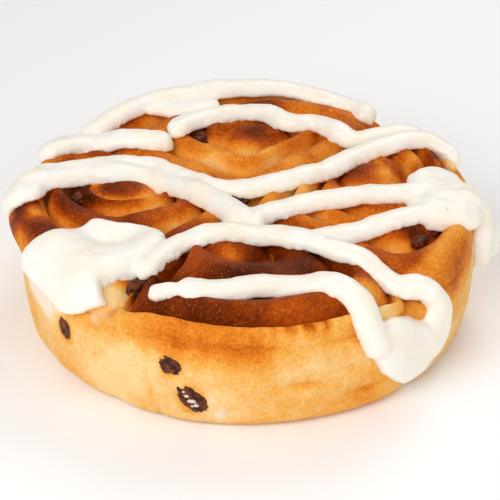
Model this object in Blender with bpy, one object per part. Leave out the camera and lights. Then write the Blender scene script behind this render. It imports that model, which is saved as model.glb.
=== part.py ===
"""A chelsea bun round: four rolled swirls of fruited dough, baked in one round tin and piped with icing.

Metres, +Z up. The origin is the centre of the flat base, and the front of the round faces -Y.
Places on the crust are given unrolled: x and y as seen from above up to the rim, and past the rim
they run on down the wall, so that one pair of numbers reaches the top, the shoulder and the side alike.
"""

import math
from dataclasses import dataclass

import bmesh
import bpy
from mathutils import Matrix, Vector, noise
from mathutils.bvhtree import BVHTree

MM = 0.001
FULL_TURN = 2 * math.pi

# The round, as the tin shapes it.
WALL_RADIUS = 92.5 * MM
SHOULDER_RADIUS = 9 * MM
FLAT_RADIUS = WALL_RADIUS - SHOULDER_RADIUS
CROWN = 52.5 * MM
WALL_TOP = 41.5 * MM
BACK_RISE = 1.05  # how much of its height the dough gains for each metre towards the back

# The ridges of the rolled dough.
RIM_RADIUS = 91.6 * MM
MIDDLE_GAP = (-3, -12)
GROOVE_DEPTH = 9 * MM
RIDGE_LIFT = 10 * MM
FULL_LIFT_WIDTH = 8 * MM
RIDGE_POWER = 2.4
CORE_SHARPNESS = 4
CORNER_SHARPNESS = 9
OPENING_TURN = 0.9 * FULL_TURN
COIL_EASE = 0.12
SQUEEZE = 0.5 * MM
NOTCH_DEPTH = 0.55
NOTCH_SPREAD = math.radians(8)
WARP = 2.2 * MM
WARP_LENGTH = 34 * MM
WARP_SEED = 4
LIP_BULGE = 5 * MM
LIP_BEARING = math.radians(190)
LIP_SPREAD = math.radians(34)
SKIRT_DEPTH = 14 * MM
SKIRT_LEAN = 0.90

# How finely the faceted solids are divided.
STEPS_PER_TURN = 20
STEPS_ACROSS = 4
WALL_STEPS = 44

# The icing, piped over the crust.
TOUCH_GAP = 0.45 * MM
PROBE_HEIGHT = 14 * MM
PROBE_SPREAD = 4 * MM
BEAD_STEP = 8.5 * MM
BEAD_ROOT = 2.4 * MM


@dataclass(frozen=True)
class Swirl:
    """One rolled strip of dough, seen on end. Lengths are in millimetres and angles in degrees.

    The coil says how far out the groove has come after so many turns: 0 at the heart, 1 at the edge of the
    core, 2 where the tin or a neighbour stops the swirl. Its last turn is a whole number of steps.
    """

    name: str
    centre: tuple
    core: tuple
    core_turn: float
    coil: tuple
    hand: int
    start: float
    rise: float


@dataclass(frozen=True)
class Raisin:
    """A raisin at an unrolled place on the crust. Lengths are in millimetres and the turn in degrees."""

    name: str
    place: tuple
    size: tuple
    turn: float
    sink: float


SWIRLS = (
    Swirl(
        "left", (-51, 2), (20, 12), -8,
        ((0, 0), (0.2, 0.8), (0.7, 0.9), (1.0, 0.98), (1.4, 1.06), (2.15, 1.43), (2.6, 1.58), (2.85, 1.68),
         (3.0, 2)),
        +1, 126, 0.5,
    ),
    Swirl(
        "back", (1, 50), (15, 7.5), 0,
        ((0, 0), (0.25, 0.85), (0.55, 0.7), (0.8, 0.95), (1.0, 1.0), (1.28, 1.05), (1.44, 1.28), (1.6, 1.28),
         (1.78, 1.06), (2.0, 1.2), (2.28, 1.39), (2.55, 1.5), (2.83, 1.5), (3.1, 1.68), (3.25, 2)),
        -1, 100, 0.0,
    ),
    Swirl(
        "right", (50, 12), (16, 15), 0,
        ((0, 0), (0.15, 0.6), (0.5, 0.85), (1.0, 1.0), (1.6, 1.28), (2.2, 1.5), (2.6, 1.62), (2.9, 1.6),
         (3.5, 2)),
        +1, -22, 0.5,
    ),
    Swirl(
        "front", (-5.5, -42), (14, 9), 0,
        ((0, 0), (0.25, 0.95), (0.75, 1.0), (1.25, 1.4), (1.5, 1.58), (1.75, 1.53), (2.4, 1.88), (2.75, 1.93),
         (3.0, 2)),
        +1, 90, 2.0,
    ),
)

# The bearings, from the middle gap, of the lines along which one swirl meets the next.
JOINTS = {
    ("right", "back"): 46,
    ("back", "left"): 141,
    ("left", "front"): 234,
    ("front", "right"): 319,
}

RAISINS = (
    Raisin("raisin_left", (-68, -1), (9, 6, 5), 75, 2.0),
    Raisin("raisin_back", (-22, 50.5), (13, 7, 6), -40, -2.0),
    Raisin("raisin_middle", (-5, -4), (13, 7, 6), -25, -2.0),
    Raisin("raisin_front", (-40, -61), (13, 7, 6), 55, -1.0),
    Raisin("raisin_right_inner", (66.5, -32), (10, 5.5, 5), 50, 0.8),
    Raisin("raisin_right_outer", (73, -24), (9, 5.5, 5), 35, 0.5),
    Raisin("raisin_wall_left", (-83, -75), (10, 7, 4), 70, 1.0),
    Raisin("raisin_wall_upper", (-33, -104), (9, 8, 4), -60, 1.0),
    Raisin("raisin_wall_lower", (-27, -119), (14, 9, 4.5), -62, 1.0),
)

# Each run of icing: its name, its width and height in millimetres, and the places that it passes over.
BEADS = (
    ("back_edge", 11, 6.0, (
        (-71, 41), (-64, 51), (-52, 63), (-38, 73), (-20, 80), (-2, 83), (15, 84), (28, 81),
        (39, 76), (48, 69), (55, 60),
    )),
    ("back_fill", 14, 4.5, ((-48, 67), (-40, 68), (-30, 67), (-20, 70), (-13, 74))),
    ("second_left", 12.5, 6.0, ((-86, 23), (-79, 31.5), (-69, 37), (-55, 37), (-42, 35.5), (-31.5, 37.5))),
    ("second_right", 10.5, 5.8, (
        (-32, 41), (-28, 49), (-19, 57), (-6, 62), (7, 60), (19, 51), (29, 51), (37, 45),
        (44, 38), (54, 42), (65, 46), (76, 45),
    )),
    ("third", 10.5, 5.8, (
        (-88, 6), (-81, 8), (-73, 10), (-62, 13.5), (-50, 18.5), (-38, 18), (-27, 9), (-14, 0), (0, -2),
        (14, 2), (30, 12), (46, 24), (60, 32), (74, 37), (85, 33), (90, 27),
    )),
    ("left_cap", 16, 5.5, ((-97, -5), (-90, -6), (-81, -4))),
    ("left_edge", 12.5, 6.2, (
        (-93, -1), (-82, 2), (-66, 8), (-50, 10), (-38, 9), (-27, 0), (-15, -10), (-6, -21), (-1, -34),
    )),
    ("centre_upper", 10.5, 5.5, (
        (-1, -36), (4, -24), (16, -17), (30, -11), (45, -8), (58, -9), (70, -6), (81, -4),
    )),
    ("centre_lower", 10.5, 5.5, (
        (-6, -36), (10, -38), (24, -42), (38, -36), (54, -28), (70, -22), (81, -17),
    )),
    ("front_arch", 10, 5.5, (
        (-40, -61), (-33, -51), (-25, -42), (-12, -39), (4, -38), (14, -38), (24, -43), (34, -49), (42, -52),
        (49, -58), (58, -63), (70, -64), (82, -67), (89, -75), (88, -86),
    )),
    ("arch_end", 14, 5.0, ((76, -67), (84, -73), (85, -86))),
    ("front_tail", 6.5, 4.5, ((-36, -74), (-31, -73), (-24, -73))),
    ("front_run", 11, 5.8, (
        (-26, -73), (-15, -72), (0, -69), (16, -68), (28, -69), (38.5, -76.5), (47.5, -87), (58, -94),
    )),
    ("drip_inner", 10, 7.0, ((80, -12), (93, -14), (104, -16), (115, -17))),
    ("drip_outer", 10, 6.0, ((84, -5), (95, -5), (106, -6), (117, -7))),
    ("drip_tip", 10, 10.5, ((98, -6), (108, -7), (118, -8))),
)

# Where runs have flowed together: a name, a thickness in millimetres, a centre, and the outline round it.
PADS = (
    ("left_pool", 5.0, (-61, -50), (
        (-92, -43), (-86, -39), (-80, -38), (-72, -34), (-66, -32), (-60, -26), (-50, -29), (-38, -30),
        (-31, -38), (-36, -55), (-53, -64), (-55, -75), (-72, -73), (-80, -61),
    )),
    ("right_pool", 5.5, (76, -8), ((64, 4), (74, 12), (83, 9), (87, -4), (92, -22), (78, -28), (64, -24))),
    ("front_pool", 4.5, (70, -90), (
        (47, -86), (53, -95), (61, -100), (71, -102), (82, -100), (91, -91), (92, -80), (86, -73),
        (72, -76), (58, -79),
    )),
)

COLOURS = {
    "bread": (0.78, 0.42, 0.13),
    "icing": (0.92, 0.89, 0.82),
    "raisin": (0.045, 0.018, 0.012),
}


def smooth_step(value):
    """Zero below 0, one above 1, and an easy slope between."""
    value = min(1.0, max(0.0, value))
    return value * value * (3 - 2 * value)


def in_metres(pair):
    """A pair of millimetres as a plan vector."""
    return Vector(pair) * MM


def seam_bearings():
    """The bearings, from the round's own centre, at which neighbouring swirls meet the tin."""
    bearings = []
    for bearing in JOINTS.values():
        line = Vector((math.cos(math.radians(bearing)), math.sin(math.radians(bearing))))
        start = in_metres(MIDDLE_GAP)
        along = start.dot(line)
        rim = start + line * (math.sqrt(along**2 - start.length_squared + WALL_RADIUS**2) - along)
        bearings.append(math.atan2(rim.y, rim.x))
    return bearings


def bump(angle, bearing, spread):
    """One at a bearing round the rim, falling away to nothing on both sides of it."""
    off = math.remainder(angle - bearing, FULL_TURN) / spread
    return math.exp(-off * off)


SEAMS = seam_bearings()

# The shape of one swirl.


def swirl_reach(swirl, direction, spread):
    """How far a swirl goes from its heart in a direction before the tin or a neighbour stops it.

    The corners of its inner rings are rounder than those of its edge.
    """
    heading = Vector((math.cos(direction), math.sin(direction)))
    centre = in_metres(swirl.centre)
    along = centre.dot(heading)
    rim = RIM_RADIUS + LIP_BULGE * bump(direction, LIP_BEARING, LIP_SPREAD)
    limits = [math.sqrt(along**2 - centre.length_squared + rim**2) - along]
    for pair, bearing in JOINTS.items():
        if swirl.name not in pair:
            continue
        line = Vector((math.cos(math.radians(bearing)), math.sin(math.radians(bearing))))
        across = Vector((-line.y, line.x))
        offset = (in_metres(MIDDLE_GAP) - centre).dot(across)
        facing = heading.dot(across) * math.copysign(1, offset)
        if facing > 0.05:
            limits.append((abs(offset) + SQUEEZE) / facing)
    sharpness = CORE_SHARPNESS + (CORNER_SHARPNESS - CORE_SHARPNESS) * smooth_step(spread - 1)
    return sum(limit**-sharpness for limit in limits) ** (-1 / sharpness)


def between_knots(knots, place):
    """The value at a place along a run of knots, each a place and a value."""
    for (before, low), (after, high) in zip(knots, knots[1:]):
        if place <= after:
            return low + (high - low) * (place - before) / (after - before)
    return knots[-1][1]


def coil_spread(swirl, turn):
    """How far out of a swirl its groove has come after a turn along the roll, with the coil's kinks eased."""
    turns = turn / FULL_TURN
    ease = max(0.0, min(COIL_EASE, turns, swirl.coil[-1][0] - turns))
    return sum(between_knots(swirl.coil, turns + ease * k / 2) for k in (-2, -1, 0, 1, 2)) / 5


def swirl_plan(swirl, turn, spread):
    """The plan point at an angle along the roll and a spread from heart to edge."""
    direction = math.radians(swirl.start) + swirl.hand * turn
    lean = direction - math.radians(swirl.core_turn)
    long_half, short_half = swirl.core
    core = MM / math.hypot(math.cos(lean) / long_half, math.sin(lean) / short_half)
    reach = swirl_reach(swirl, direction, spread)
    radius = core * min(1.0, spread) + (reach - core) * max(0.0, spread - 1)
    return in_metres(swirl.centre) + radius * Vector((math.cos(direction), math.sin(direction)))


def warped(plan):
    """A plan point pushed about a little, as rolled dough is never even. The rim stays round."""
    hold = 1 - smooth_step((plan.length - 66 * MM) / (22 * MM))
    shift = noise.noise_vector(Vector((plan.x, plan.y, 0)) / WARP_LENGTH)
    return plan + WARP * hold * shift.xy


def back_rise(plan):
    """The factor by which heights grow towards the back."""
    return 1 + BACK_RISE * plan.y


def crown_height(plan):
    """The height of the ridges over a plan point, before each one's own unevenness."""
    return CROWN * back_rise(plan)


def groove_height(plan, opening):
    """The height of the groove at a plan point. A swirl's own groove starts at its heart with no depth."""
    bearing = math.atan2(plan.y, plan.x)
    inner = CROWN - GROOVE_DEPTH * opening
    edge = WALL_TOP + 3 * MM * bump(bearing, LIP_BEARING, LIP_SPREAD)
    return (inner + (edge - inner) * smooth_step((plan.length - 76 * MM) / (15 * MM))) * back_rise(plan)


def ridge_height(swirl, plan, grooves, width):
    """The height of a ridge's crest between its two grooves. A narrow ridge stays low."""
    uneven = 2.2 * MM * noise.noise(Vector((plan.x, plan.y, 0)) / (24 * MM))
    lift = RIDGE_LIFT * min(1.0, width / FULL_LIFT_WIDTH)
    crest = min(crown_height(plan) + uneven, grooves + lift) + swirl.rise * MM
    bearing = math.atan2(plan.y, plan.x)
    at_rim = smooth_step((plan.length - 62 * MM) / (20 * MM))
    notch = NOTCH_DEPTH * at_rim * max(bump(bearing, seam, NOTCH_SPREAD) for seam in SEAMS)
    return crest + (grooves - crest) * notch


def swirl_point(swirl, turn, across, grown):
    """A point on a swirl's top: turn runs along the roll, and across from its inner edge to its outer."""
    groove_turns = (max(0.0, turn - FULL_TURN), turn)
    spreads = [coil_spread(swirl, groove_turn) for groove_turn in groove_turns]
    openings = [smooth_step(groove_turn / OPENING_TURN) for groove_turn in groove_turns]
    edges = [swirl_plan(swirl, turn, spread) for spread in spreads]
    plan = swirl_plan(swirl, turn, spreads[0] + (spreads[1] - spreads[0]) * across)
    depths = [groove_height(edge, opening) for edge, opening in zip(edges, openings)]
    grooves = depths[0] + (depths[1] - depths[0]) * across
    crest = ridge_height(swirl, plan, grooves, (edges[1] - edges[0]).length)
    dome = 1 - across**RIDGE_POWER
    ridge = 1 - abs(2 * across - 1) ** RIDGE_POWER
    arch = dome + (ridge - dome) * openings[0]
    height = grooves + (crest - grooves) * arch + grown
    place = warped(plan)
    if spreads[1] > 1.999 and across > 0.999:
        place += (place - in_metres(swirl.centre)).normalized() * grown
    return Vector((*place, height))


def make_swirl(swirl, grown=0.0):
    """One swirl as a closed block: a spiral of ridges, with a skirt that leans in to a flat underside."""
    mesh = bmesh.new()
    last_turn_start = round(swirl.coil[-1][0] * STEPS_PER_TURN)
    rows = last_turn_start + STEPS_PER_TURN
    step = FULL_TURN / STEPS_PER_TURN
    heart = mesh.verts.new(swirl_point(swirl, 0, 0, grown))
    grid = []
    for row in range(rows):
        inner = heart if row <= STEPS_PER_TURN else grid[row - STEPS_PER_TURN][-1]
        if row == 0:
            grid.append([heart] * (STEPS_ACROSS + 1))
            continue
        places = (swirl_point(swirl, row * step, k / STEPS_ACROSS, grown) for k in range(1, STEPS_ACROSS + 1))
        grid.append([inner, *(mesh.verts.new(place) for place in places)])
    tip = grid[last_turn_start][-1]
    grid.append([tip] * (STEPS_ACROSS + 1))

    for near, far in zip(grid, grid[1:]):
        for k in range(STEPS_ACROSS):
            corners = dict.fromkeys((near[k], near[k + 1], far[k + 1], far[k]))
            if len(corners) > 2:
                mesh.faces.new(corners)

    rim = [grid[row][-1] for row in range(last_turn_start, rows)]
    centre = Vector((*in_metres(swirl.centre), 0))
    foot = []
    for vertex in rim:
        inward = centre + (vertex.co - centre) * SKIRT_LEAN
        foot.append(mesh.verts.new((inward.x, inward.y, WALL_TOP - SKIRT_DEPTH - grown)))
    for k in range(len(rim)):
        after = (k + 1) % len(rim)
        mesh.faces.new((rim[k], foot[k], foot[after], rim[after]))
    mesh.faces.new(foot)
    return mesh_object(mesh, f"swirl_{swirl.name}")


# The body of the round under the swirls.


def wall_profile(grown):
    """Radius and height round the outside of the loaf body, from the base's edge to the middle of its top."""
    points = (
        (83.5, 0), (88, 1.2), (90.6, 5), (91.8, 12), (92.5, 22), (92.5, 33), (92.1, 37.5), (90.5, 39.5),
        (86, 40.5), (45, 40.5),
    )
    return [(radius * MM + grown, height * MM + grown * (height > 30)) for radius, height in points]


def make_body(grown=0.0):
    """The bun's flat base, tin-shaped wall and inside, as one turned solid with slightly uneven sides."""
    mesh = bmesh.new()
    rings = []
    for radius, height in wall_profile(grown):
        ring = []
        for k in range(WALL_STEPS):
            bearing = FULL_TURN * k / WALL_STEPS
            heading = Vector((math.cos(bearing), math.sin(bearing), 0))
            uneven = 0.7 * MM * noise.noise(heading * 2.1 + Vector((0, 0, height / (30 * MM))))
            joint = sum(bump(bearing, seam, 0.07) for seam in SEAMS)
            push = (uneven - 0.9 * MM * joint) * (radius > 80 * MM)
            place = heading * (radius + push)
            ring.append(mesh.verts.new((place.x, place.y, height * back_rise(place))))
        rings.append(ring)
    for lower, upper in zip(rings, rings[1:]):
        for k in range(WALL_STEPS):
            after = (k + 1) % WALL_STEPS
            mesh.faces.new((lower[k], lower[after], upper[after], upper[k]))
    mesh.faces.new(reversed(rings[0]))
    mesh.faces.new(rings[-1])
    return mesh_object(mesh, "body")


# Building, joining and cutting.


def mesh_object(mesh, name):
    """A bmesh as a named object in the scene, with its faces pointing out."""
    mesh.normal_update()
    bmesh.ops.recalc_face_normals(mesh, faces=mesh.faces)
    bmesh.ops.triangulate(mesh, faces=mesh.faces)
    data = bpy.data.meshes.new(name)
    mesh.to_mesh(data)
    mesh.free()
    made = bpy.data.objects.new(name, data)
    bpy.context.scene.collection.objects.link(made)
    return made


def apply_modifiers(target):
    """Replaces an object's mesh with what its modifiers make of it."""
    bpy.context.view_layer.update()
    evaluated = target.evaluated_get(bpy.context.evaluated_depsgraph_get())
    finished = bpy.data.meshes.new_from_object(evaluated)
    target.modifiers.clear()
    target.data = finished


def combine(target, others, operation):
    """Joins the other objects to the target, or cuts them from it, and removes them."""
    group = bpy.data.collections.new("others")
    for other in others:
        group.objects.link(other)
    change = target.modifiers.new("combine", "BOOLEAN")
    change.operation = operation
    change.operand_type = "COLLECTION"
    change.collection = group
    # The EXACT solver leaves edges shared by several faces where these many creased surfaces cross.
    change.solver = "MANIFOLD"
    apply_modifiers(target)
    for other in others:
        bpy.data.objects.remove(other)
    bpy.data.collections.remove(group)


def drop_scraps(target):
    """Keeps only the largest closed body of an object."""
    mesh = bmesh.new()
    mesh.from_mesh(target.data)
    unseen = set(mesh.verts)
    bodies = []
    while unseen:
        seed = unseen.pop()
        body = {seed}
        edge = [seed]
        while edge:
            vertex = edge.pop()
            near = {link.other_vert(vertex) for link in vertex.link_edges} & unseen
            unseen -= near
            body |= near
            edge.extend(near)
        bodies.append(body)
    bodies.sort(key=len)
    scraps = [vertex for body in bodies[:-1] for vertex in body]
    bmesh.ops.delete(mesh, geom=scraps, context="VERTS")
    mesh.to_mesh(target.data)
    mesh.free()


def make_bread(name, grown=0.0):
    """The whole baked dough as one solid. A grown one is the cutter that keeps other pieces clear of it."""
    bread = make_body(grown)
    bread.name = name
    combine(bread, [make_swirl(swirl, grown) for swirl in SWIRLS], "UNION")
    return bread


# Places on the crust.


class Crust:
    """Finds places on the baked crust from their unrolled coordinates."""

    def __init__(self, bread):
        bpy.context.view_layer.update()
        self.tree = BVHTree.FromObject(bread, bpy.context.evaluated_depsgraph_get())

    @staticmethod
    def hull(x, y):
        """The point and the outward normal on a smooth drum round the bun."""
        distance = math.hypot(x, y)
        heading = Vector((x, y, 0)) / distance
        top = crown_height(heading * min(distance, FLAT_RADIUS))
        tilt = min(math.pi / 2, max(0.0, distance - FLAT_RADIUS) / SHOULDER_RADIUS)
        normal = heading * math.sin(tilt) + Vector((0, 0, math.cos(tilt)))
        down = max(0.0, distance - FLAT_RADIUS - SHOULDER_RADIUS * math.pi / 2)
        hub = heading * min(distance, FLAT_RADIUS) + Vector((0, 0, top - SHOULDER_RADIUS - down))
        return hub + normal * SHOULDER_RADIUS, normal

    def surface(self, x, y):
        """The place where the crust is met by looking straight in at an unrolled place."""
        point, normal = self.hull(x, y)
        hit = self.tree.ray_cast(point + normal * PROBE_HEIGHT, -normal)[0]
        return (hit if hit else point), normal

    def ridge_level(self, x, y):
        """How high over the drum a soft run of icing rests: on the ridges round a place."""
        point, normal = self.hull(x, y)
        levels = [(self.surface(x, y)[0] - point).dot(normal)]
        for k in range(8):
            angle = k * math.pi / 4
            hit, _ = self.surface(x + PROBE_SPREAD * math.cos(angle), y + PROBE_SPREAD * math.sin(angle))
            levels.append((hit - point).dot(normal))
        levels.sort()
        return sum(levels[-5:]) / 5

    def resting_line(self, places, closed=False):
        """The points and normals at which icing rests along a line of places, eased along it."""
        levels = [self.ridge_level(*place) for place in places]
        for _ in range(2):
            before = [levels[-1] if closed else levels[0], *levels[:-1]]
            after = [*levels[1:], levels[0] if closed else levels[-1]]
            levels = [(a + 2 * b + c) / 4 for a, b, c in zip(before, levels, after)]
        line = []
        for place, level in zip(places, levels):
            point, normal = self.hull(*place)
            line.append((point + normal * level, normal))
        return line


def path_places(corners, step):
    """Evenly spaced places along a smooth curve through the corners of a path, in metres."""
    corners = [in_metres(corner) for corner in corners]
    ends = [2 * corners[0] - corners[1], *corners, 2 * corners[-1] - corners[-2]]
    fine = []
    for a, b, c, d in zip(ends, ends[1:], ends[2:], ends[3:]):
        for k in range(16):
            u = k / 16
            bend = (2 * a - 5 * b + 4 * c - d) * u**2 + (3 * b - a - 3 * c + d) * u**3
            fine.append(0.5 * (2 * b + (c - a) * u + bend))
    fine.append(corners[-1])
    lengths = [0.0]
    for before, after in zip(fine, fine[1:]):
        lengths.append(lengths[-1] + (after - before).length)
    count = max(3, round(lengths[-1] / step))
    places = []
    segment = 0
    for k in range(count + 1):
        goal = lengths[-1] * k / count
        while segment < len(fine) - 2 and lengths[segment + 1] < goal:
            segment += 1
        span = lengths[segment + 1] - lengths[segment]
        places.append(fine[segment].lerp(fine[segment + 1], (goal - lengths[segment]) / span))
    return places


# The icing.


def make_bead(crust, name, width, height, corners):
    """One piped run of icing: a rounded bead that rests on the ridges and has a blunt tip at each end."""
    places = crust.resting_line(path_places(corners, BEAD_STEP))
    half = width * MM / 2
    section = [(1.0, 0.12), (0.72, 0.78), (0.0, 1.0), (-0.72, 0.78), (-1.0, 0.12)]
    mesh = bmesh.new()
    rings = []
    for k, (point, normal) in enumerate(places):
        ahead = places[min(k + 1, len(places) - 1)][0] - places[max(k - 1, 0)][0]
        side = ahead.cross(normal).normalized()
        up = side.cross(ahead).normalized()
        swell = 1 + 0.08 * math.sin(1.7 * k + len(name))
        size = 0.55 if k in (0, len(places) - 1) else swell
        ring = [point + side * (half * size * s) + up * (height * MM * size * u) for s, u in section]
        ring.append(point - up * BEAD_ROOT)
        rings.append([mesh.verts.new(place) for place in ring])
    sides = len(rings[0])
    for near, far in zip(rings, rings[1:]):
        for k in range(sides):
            after = (k + 1) % sides
            mesh.faces.new((near[k], far[k], far[after], near[after]))
    mesh.faces.new(rings[0])
    mesh.faces.new(reversed(rings[-1]))
    return mesh_object(mesh, name)


def make_pad(crust, name, thickness, centre, outline):
    """A pool of icing: a soft-edged pad that lies over the crust inside a closed outline."""
    closed = path_places((*outline, outline[0]), BEAD_STEP)[:-1]
    middle = in_metres(centre)
    mesh = bmesh.new()
    upper = []
    lower = []
    for share, lift in ((1.0, 0.1), (0.93, 0.72), (0.72, 0.95), (0.36, 1.0)):
        line = crust.resting_line([middle.lerp(place, share) for place in closed], closed=True)
        upper.append([mesh.verts.new(point + normal * (thickness * MM * lift)) for point, normal in line])
        lower.append([mesh.verts.new(point - normal * BEAD_ROOT) for point, normal in line])
    point, normal = crust.resting_line([middle])[0]
    crown = mesh.verts.new(point + normal * thickness * MM)
    root = mesh.verts.new(point - normal * BEAD_ROOT)
    count = len(closed)
    for k in range(count):
        after = (k + 1) % count
        mesh.faces.new((upper[0][k], lower[0][k], lower[0][after], upper[0][after]))
        for rings, hub in ((upper, crown), (lower, root)):
            for outer, inner in zip(rings, rings[1:]):
                mesh.faces.new((outer[k], outer[after], inner[after], inner[k]))
            mesh.faces.new((rings[-1][k], rings[-1][after], hub))
    return mesh_object(mesh, name)


def make_icing(crust):
    """All the icing as one solid, trimmed to lie just clear of the dough and of the raisins under it."""
    runs = [make_bead(crust, *bead) for bead in BEADS]
    runs += [make_pad(crust, *pad) for pad in PADS]
    icing = runs.pop()
    icing.name = "icing"
    combine(icing, runs, "UNION")
    combine(icing, [make_bread("bread_cutter", TOUCH_GAP)], "DIFFERENCE")
    return icing


# The raisins.


def raisin_axes(raisin, normal):
    """The axes along a raisin, across it and out of the crust. Its turn is measured on the unrolled crust."""
    outward = Vector((*raisin.place, 0)).normalized()
    sideways = Vector((-outward.y, outward.x, 0))
    turn = math.radians(raisin.turn)
    heading = Vector((math.cos(turn), math.sin(turn), 0))
    along = sideways.cross(normal) * heading.dot(outward) + sideways * heading.dot(sideways)
    return Matrix((along, normal.cross(along), normal)).transposed()


def make_raisin(crust, raisin, grown=0.0):
    """A wrinkled raisin, lying along the crust and sunk into it."""
    point, normal = crust.surface(*in_metres(raisin.place))
    axes = raisin_axes(raisin, normal)
    mesh = bmesh.new()
    bmesh.ops.create_icosphere(mesh, subdivisions=2, radius=1.0)
    half = Vector(raisin.size) * MM / 2
    for vertex in mesh.verts:
        wrinkle = 1 + 0.12 * math.sin(5 * math.atan2(vertex.co.y, vertex.co.z) + 3 * vertex.co.x)
        local = Vector(size * part * wrinkle for size, part in zip(half, vertex.co))
        local += vertex.co.normalized() * grown
        vertex.co = point - normal * raisin.sink * MM + axes @ local
    return mesh_object(mesh, raisin.name)


def give_material(target, finish, roughness):
    """A plain Principled finish in one of the named colours."""
    material = bpy.data.materials.get(finish) or bpy.data.materials.new(finish)
    material.use_nodes = True
    shader = material.node_tree.nodes["Principled BSDF"]
    shader.inputs["Base Color"].default_value = (*COLOURS[finish], 1)
    shader.inputs["Roughness"].default_value = roughness
    shader.inputs["Metallic"].default_value = 0
    target.data.materials.clear()
    target.data.materials.append(material)


def clear_scene():
    """Starts from an empty scene."""
    for old in list(bpy.data.objects):
        bpy.data.objects.remove(old)


def main():
    """Builds the bread, its raisins in their pockets, and the icing over both."""
    clear_scene()
    noise.seed_set(WARP_SEED)
    bread = make_bread("bread")
    crust = Crust(bread)
    icing = make_icing(crust)
    raisins = [make_raisin(crust, raisin) for raisin in RAISINS]
    combine(bread, [make_raisin(crust, raisin, TOUCH_GAP) for raisin in RAISINS], "DIFFERENCE")
    combine(icing, [make_raisin(crust, raisin, TOUCH_GAP) for raisin in RAISINS], "DIFFERENCE")
    for solid in (bread, icing):
        drop_scraps(solid)
    give_material(bread, "bread", 0.6)
    give_material(icing, "icing", 0.45)
    for raisin in raisins:
        give_material(raisin, "raisin", 0.5)
    bpy.context.view_layer.update()


main()
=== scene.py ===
"""Dresses the chelsea bun round: its baked crust, its piped icing, its raisins and its crumbs.

Everything is in metres, with +Z up and the front of the round facing -Y. Places on the crust are given
unrolled: x and y as seen from above up to the rim, and past the rim they run on down the wall.
"""

import math
from dataclasses import dataclass

import bmesh
import bpy
from mathutils import Matrix, Vector, noise
from mathutils.bvhtree import BVHTree
from mathutils.kdtree import KDTree


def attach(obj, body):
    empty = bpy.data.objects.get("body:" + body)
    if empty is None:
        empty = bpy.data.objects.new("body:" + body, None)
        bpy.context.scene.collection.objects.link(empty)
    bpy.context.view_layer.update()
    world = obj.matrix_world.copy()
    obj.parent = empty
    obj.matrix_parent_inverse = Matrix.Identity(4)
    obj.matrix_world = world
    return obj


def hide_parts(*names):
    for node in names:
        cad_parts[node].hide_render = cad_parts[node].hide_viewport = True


bl_info = {
    "name": "Chelsea bun round",
    "version": (1, 0, 0),
    "blender": (4, 5, 0),
    "location": "3D View > Sidebar > Bun",
    "description": "Bakes, ices and dresses a round of four rolled swirls",
    "category": "Object",
}

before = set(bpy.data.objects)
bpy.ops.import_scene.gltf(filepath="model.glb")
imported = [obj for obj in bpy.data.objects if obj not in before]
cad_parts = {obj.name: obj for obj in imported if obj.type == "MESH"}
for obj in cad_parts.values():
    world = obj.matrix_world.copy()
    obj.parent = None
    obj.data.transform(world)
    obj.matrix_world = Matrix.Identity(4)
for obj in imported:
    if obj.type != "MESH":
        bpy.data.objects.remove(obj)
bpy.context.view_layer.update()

MM = 0.001
FULL_TURN = 2 * math.pi

# The round, as the tin shapes it.
WALL_RADIUS = 92.5 * MM
SHOULDER_RADIUS = 9 * MM
FLAT_RADIUS = WALL_RADIUS - SHOULDER_RADIUS
CROWN = 52.5 * MM
WALL_TOP = 41.5 * MM
BACK_RISE = 1.05  # how much of its height the dough gains for each metre towards the back

# The wall, from the base up: heights in millimetres, and the radius at some of them.
BODY_STEPS = 300
BODY_HEIGHTS = (0, 0.15, 0.35, 0.7, 1.2, 2, 2.8, 3.8, 5, 6, *range(7, 39), 39.6, 40.6, 41)
BODY_RADII = (
    (0, 83.5), (0.35, 86), (1.2, 88), (2.8, 89.6), (5, 90.6), (12, 91.8), (22, 92.5), (33, 92.5),
    (37.5, 92.3), (39.6, 91.8), (40.6, 90.6), (41, 86),
)
BODY_CAP = (45, 41)  # the ring that closes the top, inside the swirls
BODY_UNEVEN = 0.7 * MM
BODY_WAVES_ROUND = 2.1
BODY_WAVE_UP = 30
SEAM_DENT = 0.9 * MM
SEAM_DENT_SPREAD = 0.07

# The ridges of the rolled dough.
RIM_RADIUS = 91.6 * MM
MIDDLE_GAP = (-3, -12)
GROOVE_DEPTH = 9 * MM
RIDGE_LIFT = 10 * MM
FULL_LIFT_WIDTH = 8 * MM
RIDGE_POWER = 2.4
CORE_SHARPNESS = 4
CORNER_SHARPNESS = 9
OPENING_TURN = 0.9 * FULL_TURN
COIL_EASE = 0.12
LEAST_FACING = 0.05
SQUEEZE = 0.5 * MM
RIDGE_UNEVEN = 2.2 * MM
RIDGE_UNEVEN_LENGTH = 24 * MM
NOTCH_DEPTH = 0.55
NOTCH_SPREAD = math.radians(8)
WARP = 2.2 * MM
WARP_LENGTH = 34 * MM
WARP_SEED = 4
LIP_BULGE = 5 * MM
LIP_RISE = 3 * MM
LIP_BEARING = math.radians(190)
LIP_SPREAD = math.radians(34)
SKIRT_DEPTH = 14 * MM
SKIRT_LEAN = 0.90
LUMP_WAVES = (9 * MM, 4 * MM, 0.5)
FLAT_BASE = 4 * MM
DENT_REACH = 30

# Changes towards the rim: how far from the middle each one starts, and over what distance it comes in.
WARP_FADES = (66 * MM, 22 * MM)
GROOVES_DROP = (76 * MM, 15 * MM)
NOTCHES_START = (62 * MM, 20 * MM)
SHOULDER_PALES = (78 * MM, 7 * MM)

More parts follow.
